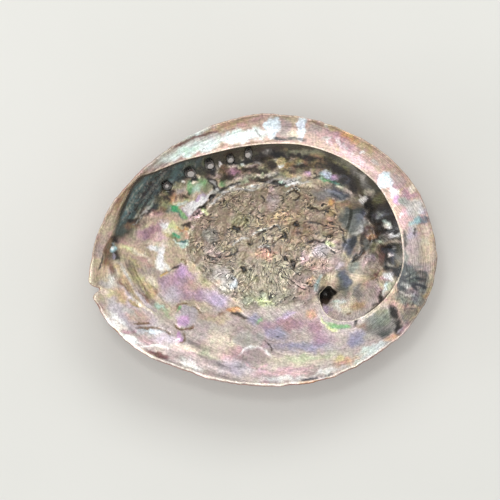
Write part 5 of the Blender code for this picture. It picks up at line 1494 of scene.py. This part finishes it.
# Painted shade in the grooves, and a painted highlight on the crests
groove = add_node(tree, "ShaderNodeMapRange", [ledge, 0.12, 0.3, GROOVE_LIGHT, 1.0])[0]
groove = add_node(tree, "ShaderNodeMix", {0: broken, 2: 1.0, 3: groove}, data_type="FLOAT")[0]
crest = add_node(tree, "ShaderNodeMapRange", [ledge, 0.6, 0.9, 0.0, CREST_LIGHT])[0]
folds = add_node(tree, "ShaderNodeMath", [groove, crest], operation="ADD")[0]
folds = add_node(tree, "ShaderNodeMix", {0: folded, 2: 1.0, 3: folds}, data_type="FLOAT")[0]
light = add_node(tree, "ShaderNodeMath", [light, folds], operation="MULTIPLY")[0]
shaded = add_node(tree, "ShaderNodeVectorMath", {0: base, "Scale": light}, operation="SCALE")[0]
tree.links.new(shaded, surface.inputs["Base Color"])

# %% Nacre: its gloss and its fine ripples
SCAR_ROUGHER = 0.14     # torn fibres shine less than pearl
NACRE = {"IOR": 1.6, "Metallic": 0.25, "Coat Weight": 0.3, "Coat Roughness": 0.12}

rough = add_node(tree, "ShaderNodeMapRange", [streaks, 0.3, 0.7, 0.2, 0.34])[0]
rougher = add_node(tree, "ShaderNodeMath", [read["scar"], SCAR_ROUGHER], operation="MULTIPLY")[0]
rough = add_node(tree, "ShaderNodeMath", [rough, rougher], operation="ADD")[0]
tree.links.new(rough, surface.inputs["Roughness"])
raised = add_node(tree, "ShaderNodeMath", [ledge, folded], operation="MULTIPLY")[0]
ripple = add_node(tree, "ShaderNodeBump", {
    "Strength": 0.6, "Distance": 0.00015, "Height": streaks})[0]
for strength, distance, field in ((0.7, 0.00022, speckle), (1.0, 0.0005, raised)):
    ripple = add_node(tree, "ShaderNodeBump", {
        "Strength": strength, "Distance": distance, "Height": field, "Normal": ripple})[0]
tree.links.new(ripple, surface.inputs["Normal"])
for name, value in NACRE.items():
    surface.inputs[name].default_value = value
print("nacre has", len(tree.nodes), "nodes")

# %% [markdown]
# The outside is chalky calcite, brick red to rose brown in bands, with grey and cream where lime
# from other small sea life has grown over it. It is rough and hardly shines.

# %% Crust
BAND_SPACE = (9.0, 2.0)  # bands in one radian of growth, and along them
PATCH_SIZE = 0.022      # metres
GRIT_SIZE = 0.0011      # metres
CRUST_COLOURS = [(0.30, "5a3a30"), (0.42, "8a4f40"), (0.52, "a3695a"), (0.62, "b58b7c"),
                 (0.72, "c9b3a2")]

crust, tree, surface = new_material("calcite_crust")
place_on = add_node(tree, "ShaderNodeTexCoord")["Object"]
read = {}
for name in ("age", "turned_x", "turned_y"):
    read[name] = add_node(tree, "ShaderNodeAttribute", attribute_name=name)["Fac"]
bands = add_node(tree, "ShaderNodeTexNoise", {
    "Vector": growth_space(tree, read, *BAND_SPACE), "Scale": 1.0, "Detail": 4.0,
    "Roughness": 0.6})["Fac"]
patches, grit = (add_node(tree, "ShaderNodeTexNoise", {
    "Vector": place_on, "Scale": 1 / size, "Detail": detail, "Roughness": 0.6})["Fac"]
                 for size, detail in ((PATCH_SIZE, 5.0), (GRIT_SIZE, 4.0)))
mixed = add_node(tree, "ShaderNodeMix", {0: 0.45, 2: bands, 3: patches}, data_type="FLOAT")[0]
ramp = add_node(tree, "ShaderNodeValToRGB", [mixed])[0]
stops = ramp.node.color_ramp.elements
while len(stops) < len(CRUST_COLOURS):
    stops.new(0.5)
for stop, (position, code) in zip(stops, CRUST_COLOURS):
    stop.position = position
    stop.color = (*linear(code), 1)
dusty = add_node(tree, "ShaderNodeMapRange", [grit, 0.3, 0.7, 0.72, 1.2])[0]
shaded = add_node(tree, "ShaderNodeVectorMath", {0: ramp, "Scale": dusty}, operation="SCALE")[0]
tree.links.new(shaded, surface.inputs["Base Color"])
gritty = add_node(tree, "ShaderNodeBump", {"Strength": 0.8, "Distance": 0.0005, "Height": grit})[0]
tree.links.new(gritty, surface.inputs["Normal"])
surface.inputs["Roughness"].default_value = 0.85

# %% [markdown]
# Sea lime and the studio's paper are both plain, pale and dull, with two close colours mixed by
# a noise, so one function makes either.

# %% Lime
LIME_GRIT = 0.0013      # metres
LIME_COLOURS = ("a89a90", "ded6cb")


def mottled(name, scale, detail_roughness, codes):
    """A dull material between two colours."""
    material, tree, surface = new_material(name)
    place_on = add_node(tree, "ShaderNodeTexCoord")["Object"]
    mottle = add_node(tree, "ShaderNodeTexNoise", {
        "Vector": place_on, "Scale": scale, "Detail": 3.0, "Roughness": detail_roughness})["Fac"]
    dark, pale = ((*linear(code), 1) for code in codes)
    mix = add_node(tree, "ShaderNodeMix", {0: mottle, 6: dark, 7: pale}, data_type="RGBA")[2]
    tree.links.new(mix, surface.inputs["Base Color"])
    surface.inputs["Roughness"].default_value = 0.9
    return material


lime = mottled("sea_lime", 1 / LIME_GRIT, 0.6, LIME_COLOURS)

# %% [markdown]
# Geometry Nodes raise what follows a rule. The same wrinkles that colour the scar lift it, and a
# sine of the age gives the fine growth lines. The tree also takes the painted cracks and folds
# from the relief attribute, moves every point along its normal, and gives the faces their
# materials.

# %% Trees with named inputs
def new_tree(name, sizes, materials):
    """An empty Geometry Nodes tree with a named input for each size and each material."""
    tree = bpy.data.node_groups.new(name, "GeometryNodeTree")
    sockets = tree.interface
    sockets.new_socket("Geometry", in_out="INPUT", socket_type="NodeSocketGeometry")
    for label, value in sizes.items():
        socket = sockets.new_socket(label, in_out="INPUT", socket_type="NodeSocketFloat")
        socket.default_value = value
    for label in materials:
        sockets.new_socket(label, in_out="INPUT", socket_type="NodeSocketMaterial")
    sockets.new_socket("Geometry", in_out="OUTPUT", socket_type="NodeSocketGeometry")
    return tree, add_node(tree, "NodeGroupInput")


def apply_tree(piece, tree, values):
    """Runs a Geometry Nodes tree on a piece with the named values and keeps the plain mesh."""
    modifier = piece.modifiers.new(tree.name, "NODES")
    modifier.node_group = tree
    for item in tree.interface.items_tree:
        if item.item_type == "SOCKET" and item.in_out == "INPUT" and item.name in values:
            modifier[item.identifier] = values[item.name]
    bpy.context.view_layer.update()
    evaluated = piece.evaluated_get(bpy.context.evaluated_depsgraph_get())
    made = bpy.data.meshes.new_from_object(evaluated)
    piece.modifiers.clear()
    piece.data = made
    made.shade_smooth()
    return made


# %% Raise the relief
RELIEF_SIZES = {"Wrinkle Height": 0.5, "Growth Line Height": 0.02, "Growth Lines": 90.0}
LEDGE_MIDDLE = 0.6      # the part of a ledge that stays at the skin's own height

relief_tree, given = new_tree("pearl_relief", RELIEF_SIZES, ("Pearl", "Crust"))
t = relief_tree
read = {}
for name in ("age", "pearl", "scar", "relief", "fibres", "fibre_turn", "fibre_length"):
    read[name] = add_node(t, "GeometryNodeInputNamedAttribute", {
        "Name": name}, data_type="FLOAT")["Attribute"]
where = add_node(t, "GeometryNodeInputPosition")[0]
plain = add_node(t, "ShaderNodeMath", [read["pearl"], read["scar"]], operation="SUBTRACT")[0]
growth = add_node(t, "ShaderNodeMath", [
    read["age"], given["Growth Lines"]], operation="MULTIPLY")[0]
growth = add_node(t, "ShaderNodeMath", [growth], operation="SINE")[0]
for other in (given["Growth Line Height"], plain):
    growth = add_node(t, "ShaderNodeMath", [growth, other], operation="MULTIPLY")[0]
# The wrinkles, then the growth lines and the painted relief, only on the pearl, in metres
height = wrinkles(t, read, where)
for operation, other in (
        ("SUBTRACT", LEDGE_MIDDLE), ("MULTIPLY", given["Wrinkle Height"]),
        ("MULTIPLY", read["scar"]), ("ADD", growth), ("ADD", read["relief"]),
        ("MULTIPLY", read["pearl"]), ("MULTIPLY", MM)):
    height = add_node(t, "ShaderNodeMath", [height, other], operation=operation)[0]
normal = add_node(t, "GeometryNodeInputNormal")[0]
offset = add_node(t, "ShaderNodeVectorMath", {0: normal, "Scale": height}, operation="SCALE")[0]
skin = add_node(t, "GeometryNodeSetPosition", {"Geometry": given["Geometry"], "Offset": offset})[0]
skin = add_node(t, "GeometryNodeRealizeInstances", {"Geometry": skin})[0]
skin = add_node(t, "GeometryNodeSetMaterial", {"Geometry": skin, "Material": given["Crust"]})[0]
on_pearl = add_node(t, "ShaderNodeMath", [read["pearl"], 0.4], operation="GREATER_THAN")[0]
skin = add_node(t, "GeometryNodeSetMaterial", {
    "Geometry": skin, "Material": given["Pearl"], "Selection": on_pearl})[0]
add_node(t, "NodeGroupOutput", [skin])
made = apply_tree(shell, relief_tree, {**RELIEF_SIZES, "Pearl": nacre, "Crust": crust})
print("materials on the skin:", [m.name for m in made.materials], "faces", len(made.polygons))

# %% [markdown]
# Small knobs of lime grow on the outside of an old shell. Points are scattered over the crust by
# a density attribute, a low lump stands on each, and the lumps are realized into one mesh.

# %% Scatter the lime
KNOB_SIZES = {"Spacing": 0.004, "Density": 9000.0, "Smallest": 0.0005, "Largest": 0.0016}
KNOB_FACES = 80
KNOB_FLATNESS = (1.0, 1.0, 0.6)
KNOB_JITTER = (0.0012, 0.0012, 0.0012)
CLUMP_SCALE = 70.0      # clumps of knobs in a metre
DENT_SCALE = 900.0      # dents in a metre

lime_tree, given = new_tree("sea_lime_knobs", KNOB_SIZES, ("Lime",))
t = lime_tree
clumps = add_node(t, "ShaderNodeTexNoise", {"Scale": CLUMP_SCALE, "Detail": 2.0})["Fac"]
clumps = add_node(t, "ShaderNodeMapRange", [clumps, 0.5, 0.62, 0.0, 1.0])[0]
limy = add_node(t, "GeometryNodeInputNamedAttribute", {
    "Name": "lime"}, data_type="FLOAT")["Attribute"]
dense = add_node(t, "ShaderNodeMath", [limy, clumps], operation="MULTIPLY")[0]
scattered = add_node(t, "GeometryNodeDistributePointsOnFaces", {
    "Mesh": given["Geometry"], "Distance Min": given["Spacing"], "Density Max": given["Density"],
    "Density Factor": dense, "Seed": 7}, distribute_method="POISSON")
knob = add_node(t, "GeometryNodeMeshIcoSphere", {"Radius": 1.0, "Subdivisions": 2})[0]
size = add_node(t, "FunctionNodeRandomValue", {
    2: given["Smallest"], 3: given["Largest"], "Seed": 3}, data_type="FLOAT")[1]
size = add_node(t, "ShaderNodeVectorMath", {0: KNOB_FLATNESS, "Scale": size}, operation="SCALE")[0]
knobs = add_node(t, "GeometryNodeInstanceOnPoints", {
    "Points": scattered["Points"], "Instance": knob, "Rotation": scattered["Rotation"],
    "Scale": size})[0]
knobs = add_node(t, "GeometryNodeRealizeInstances", {"Geometry": knobs})[0]
dents = add_node(t, "ShaderNodeTexNoise", {"Scale": DENT_SCALE, "Detail": 2.0})["Color"]
dents = add_node(t, "ShaderNodeVectorMath", [dents, (0.5, 0.5, 0.5)], operation="SUBTRACT")[0]
dents = add_node(t, "ShaderNodeVectorMath", [dents, KNOB_JITTER], operation="MULTIPLY")[0]
knobs = add_node(t, "GeometryNodeSetPosition", {"Geometry": knobs, "Offset": dents})[0]
knobs = add_node(t, "GeometryNodeSetMaterial", {"Geometry": knobs, "Material": given["Lime"]})[0]
add_node(t, "NodeGroupOutput", [knobs])
knob_piece = bpy.data.objects.new("sea_lime", shell.data.copy())
bpy.context.scene.collection.objects.link(knob_piece)
made = apply_tree(knob_piece, lime_tree, {**KNOB_SIZES, "Lime": lime})
print("lime knobs", len(made.polygons) // KNOB_FACES)

# %% Tie the pieces to the frame
for piece in (shell, knob_piece):
    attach(piece, "root")
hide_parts("shell")

# %% [markdown]
# The picture looks straight into the hollow from far off, with the shelf at the top. A long lens
# far away shows the shell nearly without perspective. The camera is tipped with the shell, so
# that it still looks square at the rim.

# %% Camera
PHOTO_WIDTH = 274.5     # millimetres across the picture in the rim plane
SENSOR = 36.0
RIM_BELOW_TOP = 3.0     # millimetres

camera_data = bpy.data.cameras.new("camera")
camera_data.sensor_width = SENSOR
camera_data.lens = SENSOR * VIEW_AWAY / PHOTO_WIDTH
camera_data.clip_end = 20
camera = bpy.data.objects.new("camera", camera_data)
bpy.context.scene.collection.objects.link(camera)
rim_height = Vector((0, 0, cad_high[2] / MM - RIM_BELOW_TOP))
target = REST_TURN @ Vector((*VIEW_CENTRE, 0)) + rim_height
camera_at = (target + REST_TURN @ Vector((0, 0, VIEW_AWAY))) * MM
camera.matrix_world = Matrix.Translation(camera_at) @ REST_TURN.to_4x4()
bpy.context.scene.camera = camera

# %% [markdown]
# The floor is plain pale paper. The widest lamp hangs over the camera's side and opens the
# shadows. One beyond the shelf lets the lip throw the wall below it into shade. A low one from
# the left rakes over the wrinkles, and a small one lights the sparks in the pearl.

# %% Floor and light
FLOOR_HALF = 3.0
FLOOR_HEIGHT = -0.0002  # just under the shell, so that the two never share a plane
PAPER_COLOURS = ("cacac4", "d2d1cc")
WORLD_COLOUR = (0.93, 0.94, 0.95, 1)
WORLD_STRENGTH = 0.64
# name, where the lamp stands, its two sides in metres, and watts
LAMPS = [
    ("key", (0.2, 0.9, 1.3), (1.1, 0.7), 10), ("front", (-0.25, -0.35, 1.9), (1.4, 1.4), 12),
    ("rake", (-1.2, -0.25, 0.55), (0.5, 0.3), 2.5), ("spark", (-0.12, 0.25, 1.7), (0.16, 0.16), 3.2),
]

floor_mesh = bpy.data.meshes.new("studio_floor")
corners = [(x * FLOOR_HALF, y * FLOOR_HALF, FLOOR_HEIGHT)
           for x, y in ((-1, -1), (1, -1), (1, 1), (-1, 1))]
floor_mesh.from_pydata(corners, [], [(0, 1, 2, 3)])
floor_mesh.materials.append(mottled("backdrop_paper", 6.0, 0.55, PAPER_COLOURS))
floor = bpy.data.objects.new("studio_floor", floor_mesh)
bpy.context.scene.collection.objects.link(floor)
floor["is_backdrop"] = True
for name, light_from, sides, power in LAMPS:
    lamp = bpy.data.lights.new(name, "AREA")
    lamp.shape = "RECTANGLE"
    lamp.size, lamp.size_y = sides
    lamp.energy = power
    holder = bpy.data.objects.new(name, lamp)
    holder.location = light_from
    holder.rotation_euler = Vector(light_from).to_track_quat("Z", "Y").to_euler()
    bpy.context.scene.collection.objects.link(holder)
world = bpy.data.worlds.new("studio")
world.use_nodes = True
world.node_tree.nodes["Background"].inputs["Color"].default_value = WORLD_COLOUR
world.node_tree.nodes["Background"].inputs["Strength"].default_value = WORLD_STRENGTH
bpy.context.scene.world = world
bpy.context.scene.view_settings.view_transform = "Standard"

# %% Measure and finish
low, high = (np.array(corner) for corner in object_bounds())
print("the finished shell measures", np.round((high - low) / MM, 1), "mm")
